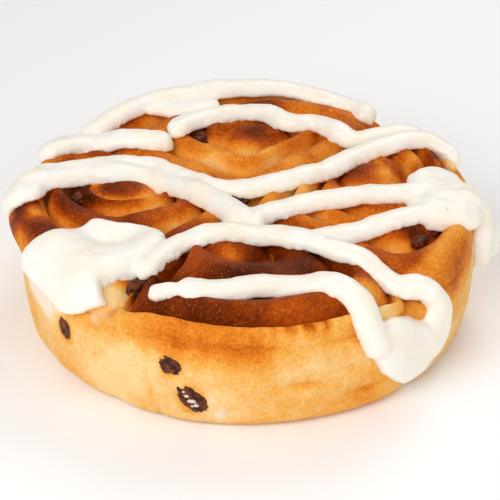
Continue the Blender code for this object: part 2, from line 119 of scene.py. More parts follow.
# How the crust has browned, from 0, pale, to 1, darkest, with painted shade added in the wall's dents.
TOP_LEVEL = (37 * MM, 5 * MM)
BAND_LEVEL = (28 * MM, 14 * MM)
GROOVE_BROWN = 0.30
CREST_LOSS = 0.20
CREST_BLEND = 2.2
SHOULDER_LOSS = 0.8
TOP_BLOTCH = 15 * MM
TOP_BLOTCH_BROWN = 0.16
WALL_BROWN = 0.11
BAND_BROWN = 0.22
WALL_BLOTCH = 19 * MM
WALL_BLOTCH_BROWN = 0.12
STAIN_BROWN = 0.22
STAIN_MARGIN = 0.5
# Painted shade in the wall's dents: so much darker for each millimetre of their depth.
DENT_PAINTED_SHADE = 0.10

# How icing finds the crust that it lies on.
PROBE_HEIGHT = 14 * MM
PROBE_SPREAD = 4 * MM
PROBES = 8
HIGHEST_PROBES = 5
PATH_PARTS = 16
BEAD_ROOT = 2.4 * MM

# The runs and pools of icing: how finely they are divided, and how they swell, drift and tear.
BEAD_STEP = 1.5 * MM
BEAD_SIDES = 12
BEAD_EASE = 24
BEAD_SWELLS = ((0.16, 16 * MM, 0), (0.04, 5 * MM, 9))
BEAD_DRIFT = 0.6 * MM
BEAD_DRIFT_LENGTH = 9 * MM
BEAD_DRIFT_LAYER = 4
BEAD_FULLNESS = (0.85, 0.8)  # how boxy a run is across and up: 1 is a half circle
TIP_LEAST = 0.04
TIP_LENGTH = 0.9  # as a share of half a run's width
PAD_STEP = 2.5 * MM
PAD_EASE = 6
PAD_ROWS = (
    (1.0, 0.1), (0.985, 0.45), (0.95, 0.75), (0.88, 0.92), (0.72, 1.0), (0.5, 1.0), (0.25, 1.0),
)
SKIN_EASE = 5
SKIN_WAVES = (6 * MM, 2.6 * MM, 0.4)
TEAR_WAVES = (2.2 * MM, 1.1 * MM, 0.6)
TEAR_REACH = 3.5 * MM
TEAR_STRENGTH = 1.3

# The raisins: the lobes round each one, their twist and height, and how its folds are stretched.
RAISIN_DETAIL = 5
RAISIN_LOBES = 5
LOBE_TWIST = 3
LOBE_HEIGHT = 0.06
FOLD_STRETCH = (1.3, 2.4, 2.4)
FOLD_SHARPNESS = 2.6
CREASE_SCALE = 4.5
CREASE_SHARPNESS = 3
CREASE_SHARE = 0.5
WRINKLE_LEVEL = 0.8
FOLD_OFFSET = 900
CREASE_OFFSET = 700
FLECK_DETAIL = 3
FLECK_LUMPS = 0.5
FLECK_LUMP_SCALE = 1.8

# Patterns in the surfaces, by their real sizes. The crust's real pores are about 0.4 mm across, a raisin's
# finest wrinkles 0.3 mm and sugar grains 0.2 mm. These would be too fine to show, so they are drawn coarser.
CRUST_MOTTLING = (  # size, detail, roughness and swing of the oven's blotches, the mottling and the pores
    (8 * MM, 4, 0.5, 0.26),
    (3 * MM, 3, 0.5, 0.16),
    (1.1 * MM, 4, 0.7, 0.50),
)
BLISTER = 1.5 * MM
BLISTER_PATCH = 5 * MM
CRUST_GRAIN = 2.4 * MM
FILM_TEAR = 3 * MM
ICING_BLUSH = 14 * MM
ICING_RIPPLE = 3.5 * MM
# Size of the soft spots of painted highlight on the raisins' skin.
RAISIN_HIGHLIGHT_SPOTS = 2 * MM
RAISIN_CREASE = 0.9 * MM
FLESH_GRAIN = 0.8 * MM
CRUMB_GRAIN = 1.5 * MM

# Colours that go with those in the settings.
AMBER_CRUST = "DE7E20"
CHESTNUT_CRUST = "762A04"
CRUST_SHEEN = "F0B070"
BLISTER_SKIN = "D8985C"
ICING_FILM = "F6E9D8"
ICING_SHADE = "F8EDDC"
# Painted highlight for the raisins: a brown-red mixed into their near-black skin in soft spots.
RAISIN_PAINTED_HIGHLIGHT = "7A3C18"
FLESH = ("C9A08C", "FBF1E6")
CRUMB = ("8A4A1E", "D9974F")
FLOOR = "FCFCFC"
WORLD = "FFFFFF"

# Crumbs fall only where the icing faces up at least this much. The seeds are fixed.
CRUMB_LEVEL = 0.6
SCATTER_SEED = 7
CRUMB_TURNS = ((0.0, 0.0, 0.0), (6.28, 6.28, 6.28), 3)
CRUMB_SIZES = ((0.25, 0.25, 0.2), (1.0, 0.8, 0.6), 5)

# The studio. The camera's place and aim are in millimetres. Lights: name, place, size, share of the key.
SENSOR = 36
NEAREST = 0.01
FLOOR_REACH = 3.0
EYE = (0.92, -502.7, 327.5)
AIM = (0.92, 0.71, 22.5)
LIGHTS_AIM = (0, 0, 0.03)
LIGHTS = (
    ("key", (-0.42, -0.66, 0.62), 0.6, 1.0),
    ("side", (0.62, -0.5, 0.4), 0.5, 0.25),
    ("back", (0.3, 0.55, 0.7), 0.5, 0.4),
)


@dataclass(frozen=True)
class Swirl:
    """One rolled strip of dough, seen on end. Lengths are in millimetres and angles in degrees.

    The coil says how far out the groove has come after so many turns: 0 at the heart, 1 at the edge of the
    core, 2 where the tin or a neighbour stops the swirl. The rise, in millimetres, lifts the whole
    swirl. It has browned so much on its crests, and is still pale up to that share of a ridge's height.
    """

    name: str
    centre: tuple
    core: tuple
    core_turn: float
    coil: tuple
    hand: int
    start: float
    rise: float
    crust_darkness: float
    shade: float


@dataclass(frozen=True)
class Raisin:
    """A raisin at an unrolled place on the crust. Lengths are in millimetres and the turn in degrees."""

    name: str
    place: tuple
    size: tuple
    turn: float
    sink: float


SWIRLS = (
    Swirl(
        "left", (-51, 2), (20, 12), -8,
        ((0, 0), (0.2, 0.8), (0.7, 0.9), (1.0, 0.98), (1.4, 1.06), (2.15, 1.43), (2.6, 1.58), (2.85, 1.68),
         (3.0, 2)),
        +1, 126, 0.5, 0.62, 0.30,
    ),
    Swirl(
        "back", (1, 50), (15, 7.5), 0,
        ((0, 0), (0.25, 0.85), (0.55, 0.7), (0.8, 0.95), (1.0, 1.0), (1.28, 1.05), (1.44, 1.28), (1.6, 1.28),
         (1.78, 1.06), (2.0, 1.2), (2.28, 1.39), (2.55, 1.5), (2.83, 1.5), (3.1, 1.68), (3.25, 2)),
        -1, 100, 0.0, 0.42, 0.30,
    ),
    Swirl(
        "right", (50, 12), (16, 15), 0,
        ((0, 0), (0.15, 0.6), (0.5, 0.85), (1.0, 1.0), (1.6, 1.28), (2.2, 1.5), (2.6, 1.62), (2.9, 1.6),
         (3.5, 2)),
        +1, -22, 0.5, 0.44, 0.30,
    ),
    Swirl(
        "front", (-5.5, -42), (14, 9), 0,
        ((0, 0), (0.25, 0.95), (0.75, 1.0), (1.25, 1.4), (1.5, 1.58), (1.75, 1.53), (2.4, 1.88), (2.75, 1.93),
         (3.0, 2)),
        +1, 90, 2.0, 0.63, 0.10,
    ),
)

# The bearings, from the middle gap, of the lines along which one swirl meets the next.
JOINTS = {
    ("right", "back"): 46,
    ("back", "left"): 141,
    ("left", "front"): 234,
    ("front", "right"): 319,
}

RAISINS = (
    Raisin("raisin_left", (-68, -1), (9, 6, 5), 75, 2.0),
    Raisin("raisin_back", (-22, 50.5), (13, 7, 6), -40, -2.0),
    Raisin("raisin_middle", (-5, -4), (13, 7, 6), -25, -2.0),
    Raisin("raisin_front", (-40, -61), (13, 7, 6), 55, -1.0),
    Raisin("raisin_right_inner", (66.5, -32), (10, 5.5, 5), 50, 0.8),
    Raisin("raisin_right_outer", (73, -24), (9, 5.5, 5), 35, 0.5),
    Raisin("raisin_wall_left", (-83, -75), (10, 7, 4), 70, 1.0),
    Raisin("raisin_wall_upper", (-33, -104), (9, 8, 4), -60, 1.0),
    Raisin("raisin_wall_lower", (-27, -119), (14, 9, 4.5), -62, 1.0),
)

# Each run of icing: its name, its width and height in millimetres, and the places that it passes over.
BEADS = (
    ("back_edge", 11, 6.0, (
        (-71, 41), (-64, 51), (-52, 63), (-38, 73), (-20, 80), (-2, 83), (15, 84), (28, 81),
        (39, 76), (48, 69), (55, 60),
    )),
    ("back_fill", 14, 4.5, ((-48, 67), (-40, 68), (-30, 67), (-20, 70), (-13, 74))),
    ("second_left", 12.5, 6.0, ((-86, 23), (-79, 31.5), (-69, 37), (-55, 37), (-42, 35.5), (-31.5, 37.5))),
    ("second_right", 10.5, 5.8, (
        (-32, 41), (-28, 49), (-19, 57), (-6, 62), (7, 60), (19, 51), (29, 51), (37, 45),
        (44, 38), (54, 42), (65, 46), (76, 45),
    )),
    ("third", 10.5, 5.8, (
        (-88, 6), (-81, 8), (-73, 10), (-62, 13.5), (-50, 18.5), (-38, 18), (-27, 9), (-14, 0), (0, -2),
        (14, 2), (30, 12), (46, 24), (60, 32), (74, 37), (85, 33), (90, 27),
    )),
    ("left_cap", 16, 5.5, ((-97, -5), (-90, -6), (-81, -4))),
    ("left_edge", 12.5, 6.2, (
        (-93, -1), (-82, 2), (-66, 8), (-50, 10), (-38, 9), (-27, 0), (-15, -10), (-6, -21), (-1, -34),
    )),
    ("centre_upper", 10.5, 5.5, (
        (-1, -36), (4, -24), (16, -17), (30, -11), (45, -8), (58, -9), (70, -6), (81, -4),
    )),
    ("centre_lower", 10.5, 5.5, (
        (-6, -36), (10, -38), (24, -42), (38, -36), (54, -28), (70, -22), (81, -17),
    )),
    ("front_arch", 10, 5.5, (
        (-40, -61), (-33, -51), (-25, -42), (-12, -39), (4, -38), (14, -38), (24, -43), (34, -49), (42, -52),
        (49, -58), (58, -63), (70, -64), (82, -67), (89, -75), (88, -86),
    )),
    ("arch_end", 14, 5.0, ((76, -67), (84, -73), (85, -86))),
    ("front_tail", 6.5, 4.5, ((-36, -74), (-31, -73), (-24, -73))),
    ("front_run", 11, 5.8, (
        (-26, -73), (-15, -72), (0, -69), (16, -68), (28, -69), (38.5, -76.5), (47.5, -87), (58, -94),
    )),
    ("drip_inner", 10, 7.0, ((80, -12), (93, -14), (104, -16), (115, -17))),
    ("drip_outer", 10, 6.0, ((84, -5), (95, -5), (106, -6), (117, -7))),
    ("drip_tip", 10, 10.5, ((98, -6), (108, -7), (118, -8))),
)

# Where runs have flowed together: a name, a thickness in millimetres, a centre, and the outline round it.
PADS = (
    ("left_pool", 5.0, (-61, -50), (
        (-92, -43), (-86, -39), (-80, -38), (-72, -34), (-66, -32), (-60, -26), (-50, -29), (-38, -30),
        (-31, -38), (-36, -55), (-53, -64), (-55, -75), (-72, -73), (-80, -61),
    )),
    ("right_pool", 5.5, (76, -8), ((64, 4), (74, 12), (83, 9), (87, -4), (92, -22), (78, -28), (64, -24))),
    ("front_pool", 4.5, (70, -90), (
        (47, -86), (53, -95), (61, -100), (71, -102), (82, -100), (91, -91), (92, -80), (86, -73),
        (72, -76), (58, -79),
    )),
)

# Patches of more or less browning from the oven, and a row of painted slit shadow: place, reach in
# millimetres, and how much.
PATCHES = (
    ((-48, 5), 11, 0.05), ((-38, -10), 6, -0.30), ((-66, -5), 8, 0.35), ((-50, -17), 10, 0.05),
    ((-24, -15), 10, -0.10), ((-13, -19), 8, -0.32), ((-84, -19), 5, -0.48), ((-94, -18), 9, 0.42),
    ((-79, -31), 8, 0.12), ((1, 46), 10, 0.36), ((9, 49), 8, 0.10), ((0, 34), 6, -0.12),
    ((-14, 24), 14, -0.20), ((10, 27), 12, -0.20), ((33, 36), 9, -0.12), ((22, 67), 8, -0.05),
    ((43, 77), 8, 0.32), ((5, 70), 9, 0.35), ((-52, 57), 8, 0.10), ((-74, 27), 9, -0.12),
    ((42, 15), 9, 0.42), ((57, 11), 4, -0.30), ((63, 12), 5, 0.30), ((69, 22), 4, -0.20),
    ((78, 25), 5, 0.36), ((85, 22), 4, -0.25), ((91, 14), 6, 0.35), ((36, -22), 12, -0.02),
    ((18, 2), 15, -0.25), ((-6, -12), 9, -0.30), ((60, -31), 6, 0.26), ((60, -39), 5, -0.22),
    ((82, -38), 12, 0.24), ((64, -52), 9, 0.24), ((-6, -50), 5.5, -0.42), ((-8, -43), 5, -0.05),
    ((1, -60), 16, 0.25), ((22, -57), 8, 0.20), ((44, -72), 8, -0.40), ((33, -66), 7, -0.26),
    ((58, -77), 7, 0.08), ((-18, -81), 14, 0.06), ((18, -80), 14, -0.12), ((-49, -64), 6, -0.50),
    ((-34, -76), 6, 0.12), ((-2, -96), 13, 0.14), ((-25, -90), 9, 0.30), ((-38, -87), 6, 0.16),
    # Painted shade: these seven small spots, to (27.5, -85.9), draw the shadow in a thin slit along the front
    # shoulder.
    ((10, -88.9), 1.3, 0.3), ((13.5, -88.7), 1.3, 0.5), ((17, -88.2), 1.3, 0.6),
    ((20.5, -87.6), 1.3, 0.6), ((24, -86.8), 1.3, 0.6), ((27.5, -85.9), 1.3, 0.5), ((26, -99), 12, -0.12),
    ((-62, -98), 24, -0.10), ((60, -116), 26, 0.12), ((-34, -126), 24, -0.04), ((88, -56), 14, 0.15),
)

# Thin smears that icing has left on the crust: place, reach in millimetres, and how thickly.
SMEARS = (
    ((-88, -60), 8, 0.9), ((-97, -44), 6, 0.8), ((-76, -66), 6, 0.7), ((-92, -52), 6, 0.8),
    ((98, -14), 7, 0.9), ((94, 4), 6, 0.7), ((104, -24), 6, 0.7), ((99, -82), 8, 0.9), ((92, -97), 6, 0.7),
    ((-14, -128), 5, 0.6), ((-18, -120), 4, 0.5), ((-6, -14), 4, 0.6), ((-60, -78), 5, 0.5),
)

# Hollows in the wall where the dough met the tin unevenly: place, half width, half height and depth.
DENTS = (
    ((24, -114), (6, 1.8), 1.6), ((31, -113), (4, 1.4), 1.0), ((60, -110), (9, 2), 1.5),
    ((13, -116), (1.2, 4), 0.8), ((-18, -98), (8, 2.5), 0.5), ((-46, -106), (1.2, 5), 0.9),
    ((-47.5, -114), (1.2, 5), 1.1), ((-48, -123), (1.4, 5), 1.1), ((-88, -76), (5, 2), 0.9),
    ((78, -96), (2, 6), 0.7), ((20, 125), (12, 3), 1.2), ((-70, 95), (9, 2.5), 1.0),
    ((44, -103), (5, 1.5), 0.6), ((-70, -92), (6, 1.6), 0.6),
)

# Flecks of sugary flesh that show where a raisin has torn: place and size.
FLECKS = (
    ((-26.5, -119.5), (3.0, 1.6, 0.9)), ((-28.5, -117.2), (1.8, 1.2, 0.8)),
    ((-24.6, -121.6), (2.0, 1.3, 0.8)), ((-26.8, -122.0), (1.2, 0.9, 0.7)),
    ((-29.6, -115.4), (1.1, 0.8, 0.7)),
)


# Sizes and colours that can be changed.


class BreadSettings(bpy.types.PropertyGroup):
    """The baked dough."""

    steps_per_turn: bpy.props.IntProperty(
        name="Steps per turn", description="How finely each roll is divided", default=144, min=22
    )
    steps_across: bpy.props.IntProperty(
        name="Steps across", description="How finely each ridge is divided", default=18, min=4
    )
    lumps: bpy.props.FloatProperty(
        name="Lumps", description="Height of the crust's unevenness", default=0.45 * MM, subtype="DISTANCE"
    )
    pale: bpy.props.StringProperty(
        name="Pale crumb", description="Colour of the least baked dough", default="F4D193"
    )
    golden: bpy.props.StringProperty(
        name="Golden crust", description="Colour of lightly baked crust", default="EEAA4A"
    )
    brown: bpy.props.StringProperty(
        name="Brown crust", description="Colour of well baked crust", default="AE4A0C"
    )
    dark: bpy.props.StringProperty(
        name="Dark crust", description="Colour of the darkest ridges", default="441200"
    )


class IcingSettings(bpy.types.PropertyGroup):
    """The piped icing."""

    grain: bpy.props.FloatProperty(
        name="Grain", description="Size of the squares that the icing's skin is made of", default=0.8 * MM,
        subtype="DISTANCE",
    )
    ripple: bpy.props.FloatProperty(
        name="Ripple", description="How uneven the icing's skin is", default=0.36 * MM, subtype="DISTANCE"
    )
    colour: bpy.props.StringProperty(name="Icing", description="Colour of the icing", default="FAF4EA")


class RaisinSettings(bpy.types.PropertyGroup):
    """The raisins."""

    wrinkle: bpy.props.FloatProperty(
        name="Wrinkle", description="How deep the fine wrinkles are, as a share of the raisin", default=0.11
    )
    colour: bpy.props.StringProperty(name="Raisin", description="Colour of the raisins", default="341006")


class CrumbSettings(bpy.types.PropertyGroup):
    """Loose crumbs on the icing."""

    density: bpy.props.FloatProperty(
        name="Crumbs", description="Crumbs for each square metre of icing", default=700.0, min=0
    )
    size: bpy.props.FloatProperty(
        name="Crumb size", description="Size of the largest crumbs", default=0.9 * MM, subtype="DISTANCE"
    )


class StageSettings(bpy.types.PropertyGroup):
    """The floor, the lights and the camera."""

    lens: bpy.props.FloatProperty(
        name="Lens", description="Focal length of the camera", default=102.07, subtype="DISTANCE_CAMERA"
    )
    key: bpy.props.FloatProperty(
        name="Key light", description="Strength of the main light", default=5.4, unit="POWER"
    )
    fill: bpy.props.FloatProperty(
        name="Fill light", description="Strength of the light all round", default=0.45
    )


# Small measures.


def smooth_step(value):
    """Zero below 0, one above 1, and an easy slope between."""
    value = min(1.0, max(0.0, value))
    return value * value * (3 - 2 * value)


def eased(value, start, width):
    """Zero up to a start, one from a width beyond it, and an easy slope between."""
    return smooth_step((value - start) / width)


def two_waves(place, long, short, share):
    """A soft noise of a long wave, with a share of a shorter one."""
    return noise.noise(place / long) + share * noise.noise(place / short)


def in_metres(pair):
    """A pair of millimetres as a plan vector."""
    return Vector(pair) * MM


def linear(code):
    """A screen colour, such as F2B45E, as the linear colour that shaders use."""
    parts = [int(code[k : k + 2], 16) / 255 for k in (0, 2, 4)]
    return (*(p / 12.92 if p <= 0.04045 else ((p + 0.055) / 1.055) ** 2.4 for p in parts), 1.0)


def seam_bearings():
    """The bearings, from the round's own centre, at which neighbouring swirls meet the tin."""
    bearings = []
    for bearing in JOINTS.values():
        line = Vector((math.cos(math.radians(bearing)), math.sin(math.radians(bearing))))
        start = in_metres(MIDDLE_GAP)
        along = start.dot(line)
        rim = start + line * (math.sqrt(along**2 - start.length_squared + WALL_RADIUS**2) - along)
        bearings.append(math.atan2(rim.y, rim.x))
    return bearings


def bump(angle, bearing, spread):
    """One at a bearing round the rim, falling away to nothing on both sides of it."""
    off = math.remainder(angle - bearing, FULL_TURN) / spread
    return math.exp(-off * off)


SEAMS = seam_bearings()


# The shape of one swirl.


def swirl_reach(swirl, direction, spread):
    """How far a swirl goes from its heart in a direction before the tin or a neighbour stops it.

    The corners of its inner rings are rounder than those of its edge.
    """
    heading = Vector((math.cos(direction), math.sin(direction)))
    centre = in_metres(swirl.centre)
    along = centre.dot(heading)
    rim = RIM_RADIUS + LIP_BULGE * bump(direction, LIP_BEARING, LIP_SPREAD)
    limits = [math.sqrt(along**2 - centre.length_squared + rim**2) - along]
    for pair, bearing in JOINTS.items():
        if swirl.name not in pair:
            continue
        line = Vector((math.cos(math.radians(bearing)), math.sin(math.radians(bearing))))
        across = Vector((-line.y, line.x))
        offset = (in_metres(MIDDLE_GAP) - centre).dot(across)
        facing = heading.dot(across) * math.copysign(1, offset)
        if facing > LEAST_FACING:
            limits.append((abs(offset) + SQUEEZE) / facing)
    sharpness = CORE_SHARPNESS + (CORNER_SHARPNESS - CORE_SHARPNESS) * smooth_step(spread - 1)
    return sum(limit**-sharpness for limit in limits) ** (-1 / sharpness)


def between_knots(knots, place):
    """The value at a place along a run of knots, each a place and a value."""
    for (before, low), (after, high) in zip(knots, knots[1:]):
        if place <= after:
            return low + (high - low) * (place - before) / (after - before)
    return knots[-1][1]


def coil_spread(swirl, turn):
    """How far out of a swirl its groove has come after a turn along the roll, with the coil's kinks eased."""
    turns = turn / FULL_TURN
    ease = max(0.0, min(COIL_EASE, turns, swirl.coil[-1][0] - turns))
    return sum(between_knots(swirl.coil, turns + ease * k / 2) for k in (-2, -1, 0, 1, 2)) / 5


def swirl_plan(swirl, turn, spread):
    """The plan point at an angle along the roll and a spread from heart to edge."""
    direction = math.radians(swirl.start) + swirl.hand * turn
    lean = direction - math.radians(swirl.core_turn)
    long_half, short_half = swirl.core
    core = MM / math.hypot(math.cos(lean) / long_half, math.sin(lean) / short_half)
    reach = swirl_reach(swirl, direction, spread)
    radius = core * min(1.0, spread) + (reach - core) * max(0.0, spread - 1)
    return in_metres(swirl.centre) + radius * Vector((math.cos(direction), math.sin(direction)))


def warped(plan):
    """A plan point pushed about a little, as rolled dough is never even. The rim stays round."""
    hold = 1 - eased(plan.length, *WARP_FADES)
    shift = noise.noise_vector(Vector((plan.x, plan.y, 0)) / WARP_LENGTH)
    return plan + WARP * hold * shift.xy


def back_rise(plan):
    """The factor by which heights grow towards the back."""
    return 1 + BACK_RISE * plan.y


def crown_height(plan):
    """The height of the ridges over a plan point, before each one's own unevenness."""
    return CROWN * back_rise(plan)


def groove_height(plan, opening):
    """The height of the groove at a plan point. A swirl's own groove starts at its heart with no depth."""
    bearing = math.atan2(plan.y, plan.x)
    inner = CROWN - GROOVE_DEPTH * opening
    edge = WALL_TOP + LIP_RISE * bump(bearing, LIP_BEARING, LIP_SPREAD)
    return (inner + (edge - inner) * eased(plan.length, *GROOVES_DROP)) * back_rise(plan)


def ridge_height(swirl, plan, grooves, width):
    """The height of a ridge's crest between its two grooves. A narrow ridge stays low."""
    uneven = RIDGE_UNEVEN * noise.noise(Vector((plan.x, plan.y, 0)) / RIDGE_UNEVEN_LENGTH)
    lift = RIDGE_LIFT * min(1.0, width / FULL_LIFT_WIDTH)
    crest = min(crown_height(plan) + uneven, grooves + lift) + swirl.rise * MM
    bearing = math.atan2(plan.y, plan.x)
    at_rim = eased(plan.length, *NOTCHES_START)
    notch = NOTCH_DEPTH * at_rim * max(bump(bearing, seam, NOTCH_SPREAD) for seam in SEAMS)
    return crest + (grooves - crest) * notch


def swirl_point(swirl, turn, across):
    """A point on a swirl's top, and how near it is to the crest of its ridge."""
    groove_turns = (max(0.0, turn - FULL_TURN), turn)
    spreads = [coil_spread(swirl, groove_turn) for groove_turn in groove_turns]
    openings = [smooth_step(groove_turn / OPENING_TURN) for groove_turn in groove_turns]
    edges = [swirl_plan(swirl, turn, spread) for spread in spreads]
    plan = swirl_plan(swirl, turn, spreads[0] + (spreads[1] - spreads[0]) * across)
    depths = [groove_height(edge, opening) for edge, opening in zip(edges, openings)]
    grooves = depths[0] + (depths[1] - depths[0]) * across
    crest = ridge_height(swirl, plan, grooves, (edges[1] - edges[0]).length)
    dome = 1 - across**RIDGE_POWER
    ridge = 1 - abs(2 * across - 1) ** RIDGE_POWER
    arch = dome + (ridge - dome) * openings[0]
    height = grooves + (crest - grooves) * arch
    place = warped(plan)
    return Vector((*place, height)), arch


def make_swirl(swirl, steps, steps_across, marks):
    """One swirl as a closed block. Each point's place, swirl and nearness to a crest go into the marks."""
    mesh = bmesh.new()
    last_turn_start = round(swirl.coil[-1][0] * steps)
    rows = last_turn_start + steps
    step = FULL_TURN / steps
    heart = mesh.verts.new(swirl_point(swirl, 0, 0)[0])
    grid = []
    for row in range(rows):
        inner = heart if row <= steps else grid[row - steps][-1]
        if row == 0:
            grid.append([heart] * (steps_across + 1))
            continue
        line = [inner]
        for k in range(1, steps_across + 1):
            place, arch = swirl_point(swirl, row * step, k / steps_across)
            line.append(mesh.verts.new(place))
            marks.append((place, arch, swirl, row / steps))
        grid.append(line)
    tip = grid[last_turn_start][-1]
    grid.append([tip] * (steps_across + 1))

    for near, far in zip(grid, grid[1:]):
        for k in range(steps_across):
            corners = dict.fromkeys((near[k], near[k + 1], far[k + 1], far[k]))
            if len(corners) > 2:
                mesh.faces.new(corners)

    rim = [grid[row][-1] for row in range(last_turn_start, rows)]
    centre = Vector((*in_metres(swirl.centre), 0))
    foot = []
    for vertex in rim:
        inward = centre + (vertex.co - centre) * SKIRT_LEAN
        foot.append(mesh.verts.new((inward.x, inward.y, WALL_TOP - SKIRT_DEPTH)))
    for k in range(len(rim)):
        after = (k + 1) % len(rim)
        mesh.faces.new((rim[k], foot[k], foot[after], rim[after]))
    mesh.faces.new(foot)
    return mesh_object(mesh, f"swirl_{swirl.name}")


def make_body(steps):
    """The bun's flat base, tin-shaped wall and inside, as one turned solid with slightly uneven sides."""
    mesh = bmesh.new()
    outline = [(between_knots(BODY_RADII, height), height) for height in BODY_HEIGHTS] + [BODY_CAP]
    rings = []
    for radius, height in outline:
        ring = []
        for k in range(steps):
            bearing = FULL_TURN * k / steps
            heading = Vector((math.cos(bearing), math.sin(bearing), 0))
            wave = heading * BODY_WAVES_ROUND + Vector((0, 0, height / BODY_WAVE_UP))
            uneven = BODY_UNEVEN * noise.noise(wave)
            joint = sum(bump(bearing, seam, SEAM_DENT_SPREAD) for seam in SEAMS)
            push = (uneven - SEAM_DENT * joint) * (radius > BODY_CAP[0])
            place = heading * (radius * MM + push)
            ring.append(mesh.verts.new((place.x, place.y, height * MM * back_rise(place))))
        rings.append(ring)
    for lower, upper in zip(rings, rings[1:]):
        for k in range(steps):
            after = (k + 1) % steps
            mesh.faces.new((lower[k], lower[after], upper[after], upper[k]))
    mesh.faces.new(reversed(rings[0]))
    mesh.faces.new(rings[-1])
    return mesh_object(mesh, "body")


# Building and joining.


def mesh_object(mesh, name):
    """A bmesh as a named object in the scene, with its faces pointing out."""
    mesh.normal_update()
    bmesh.ops.recalc_face_normals(mesh, faces=mesh.faces)
    bmesh.ops.triangulate(mesh, faces=mesh.faces)
    data = bpy.data.meshes.new(name)
    mesh.to_mesh(data)
    mesh.free()
    made = bpy.data.objects.new(name, data)
    bpy.context.scene.collection.objects.link(made)
    return made


def apply_modifiers(target):
    """Replaces an object's mesh with what its modifiers make of it."""
    bpy.context.view_layer.update()
    evaluated = target.evaluated_get(bpy.context.evaluated_depsgraph_get())
    finished = bpy.data.meshes.new_from_object(evaluated)
    target.modifiers.clear()
    target.data = finished


def join_solids(target, others):
    """Joins closed solids to the target with one Boolean, and removes them."""
    group = bpy.data.collections.new("others")
    for other in others:
        group.objects.link(other)
    change = target.modifiers.new("join", "BOOLEAN")
    change.operation = "UNION"
    change.operand_type = "COLLECTION"
    change.collection = group
    change.solver = "MANIFOLD"
    apply_modifiers(target)
    for other in others:
        bpy.data.objects.remove(other)
    bpy.data.collections.remove(group)


def finish_piece(piece, material, slot, *nodes):
    """Shades a finished piece smoothly, gives it its material, and puts it on the frame."""
    piece.data.materials.clear()
    piece.data.materials.append(material)
    piece.data.shade_smooth()
    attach(piece, "root")
    if nodes:
        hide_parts(*nodes)


def unrolled(place):
    """The unrolled place of a point on the crust, in millimetres."""
    plan = Vector((place.x, place.y))
    distance = plan.length
    shoulder = crown_height(plan) - SHOULDER_RADIUS
    if distance > 1e-6 and place.z < shoulder:
        run = FLAT_RADIUS + SHOULDER_RADIUS * math.pi / 2 + (shoulder - place.z)
        plan = plan * (run / distance)
    return plan / MM


def spotted(place, spots, limit=math.inf):
    """The sum of the soft spots that reach an unrolled place. Each has a centre, a reach and an amount."""
    total = 0.0
    for centre, reach, amount in spots:
        off = (place - Vector(centre)).length / reach
        if off < limit:
            total += amount * math.exp(-off * off)
    return total


def browning_and_painted_shade(place, arch, swirl, turns):
    """How dark the crust is at a point, from 0, pale, to 1, darkest: its browning, and painted shade in dents
    and a slit.
    """
    plan = Vector((place.x, place.y))
    across = unrolled(place)
    level = place.z / back_rise(plan)
    crest = smooth_step((arch - swirl.shade) / (CREST_BLEND * swirl.shade))
    shoulder = 0.0
    if turns > swirl.coil[-1][0]:
        lip = bump(math.atan2(plan.y, plan.x), LIP_BEARING, LIP_SPREAD)
        shoulder = eased(plan.length, *SHOULDER_PALES) * (1 - lip)
    blotch = TOP_BLOTCH_BROWN * noise.noise(Vector((place.x, place.y, 3 * MM)) / TOP_BLOTCH)
    on_top = GROOVE_BROWN + crest * (swirl.crust_darkness * (1 - SHOULDER_LOSS * shoulder) - CREST_LOSS) + blotch
    blotch = WALL_BLOTCH_BROWN * noise.noise(place / WALL_BLOTCH)
    on_wall = WALL_BROWN + BAND_BROWN * eased(level, *BAND_LEVEL) + blotch
    amount = on_wall + (on_top - on_wall) * eased(level, *TOP_LEVEL)
    # Oven patches, and the painted shadow of the slit along the front shoulder.
    amount += spotted(across, PATCHES)
    for raisin in RAISINS:
        off = (across - Vector(raisin.place)).length / (0.5 * raisin.size[0] + STAIN_MARGIN)
        amount += STAIN_BROWN * math.exp(-off**4)
    # Painted shade: the dents are drawn darker the deeper they go.
    amount += DENT_PAINTED_SHADE * dent_depth(place) / MM
    return min(1.0, max(0.0, amount))


def smeared(place):
    """How thickly icing is smeared over the crust at a point, from 0, bare, to 1."""
    return min(1.0, spotted(unrolled(place), SMEARS, limit=2))


def write_amounts(target, name, amounts):
    """Stores an amount for each point of a mesh, for its material to use."""
    attribute = target.data.attributes.new(name, "FLOAT", "POINT")
    attribute.data.foreach_set("value", amounts)


def mark_crust(bread, marks):
    """Writes how dark and how smeared the crust is at each of its points; the darkness holds painted shade
    too.
    """
    tree = KDTree(len(marks))
    for k, (place, *_) in enumerate(marks):
        tree.insert(place, k)
    tree.balance()
    amounts = []
    for vertex in bread.data.vertices:
        _, k, _ = tree.find(vertex.co)
        amounts.append(browning_and_painted_shade(vertex.co, *marks[k][1:]))
    write_amounts(bread, "crust_darkness", amounts)
    write_amounts(bread, "smeared", [smeared(vertex.co) for vertex in bread.data.vertices])


def raise_lumps(bread, height):
    """Gives the crust its soft unevenness, and presses in its dents. The base stays flat."""
    normals = [vertex.normal.copy() for vertex in bread.data.vertices]
    for vertex, normal in zip(bread.data.vertices, normals):
        hold = smooth_step(vertex.co.z / FLAT_BASE)
        vertex.co += normal * (height * two_waves(vertex.co, *LUMP_WAVES) * hold - dent_depth(vertex.co))


def dent_depth(place):
    """How far the wall is pressed in at a point."""
    if place.z > WALL_TOP:
        return 0.0
    across = unrolled(place)
    heading = across.normalized()
    depth = 0.0
    for centre, (half_width, half_height), deepest in DENTS:
        off = across - Vector(centre)
        if off.length < DENT_REACH:
            along = off.dot(heading) / half_height
            sideways = off.cross(heading) / half_width
            depth += deepest * MM * math.exp(-along * along - sideways * sideways)
    return depth


# Places on the crust.


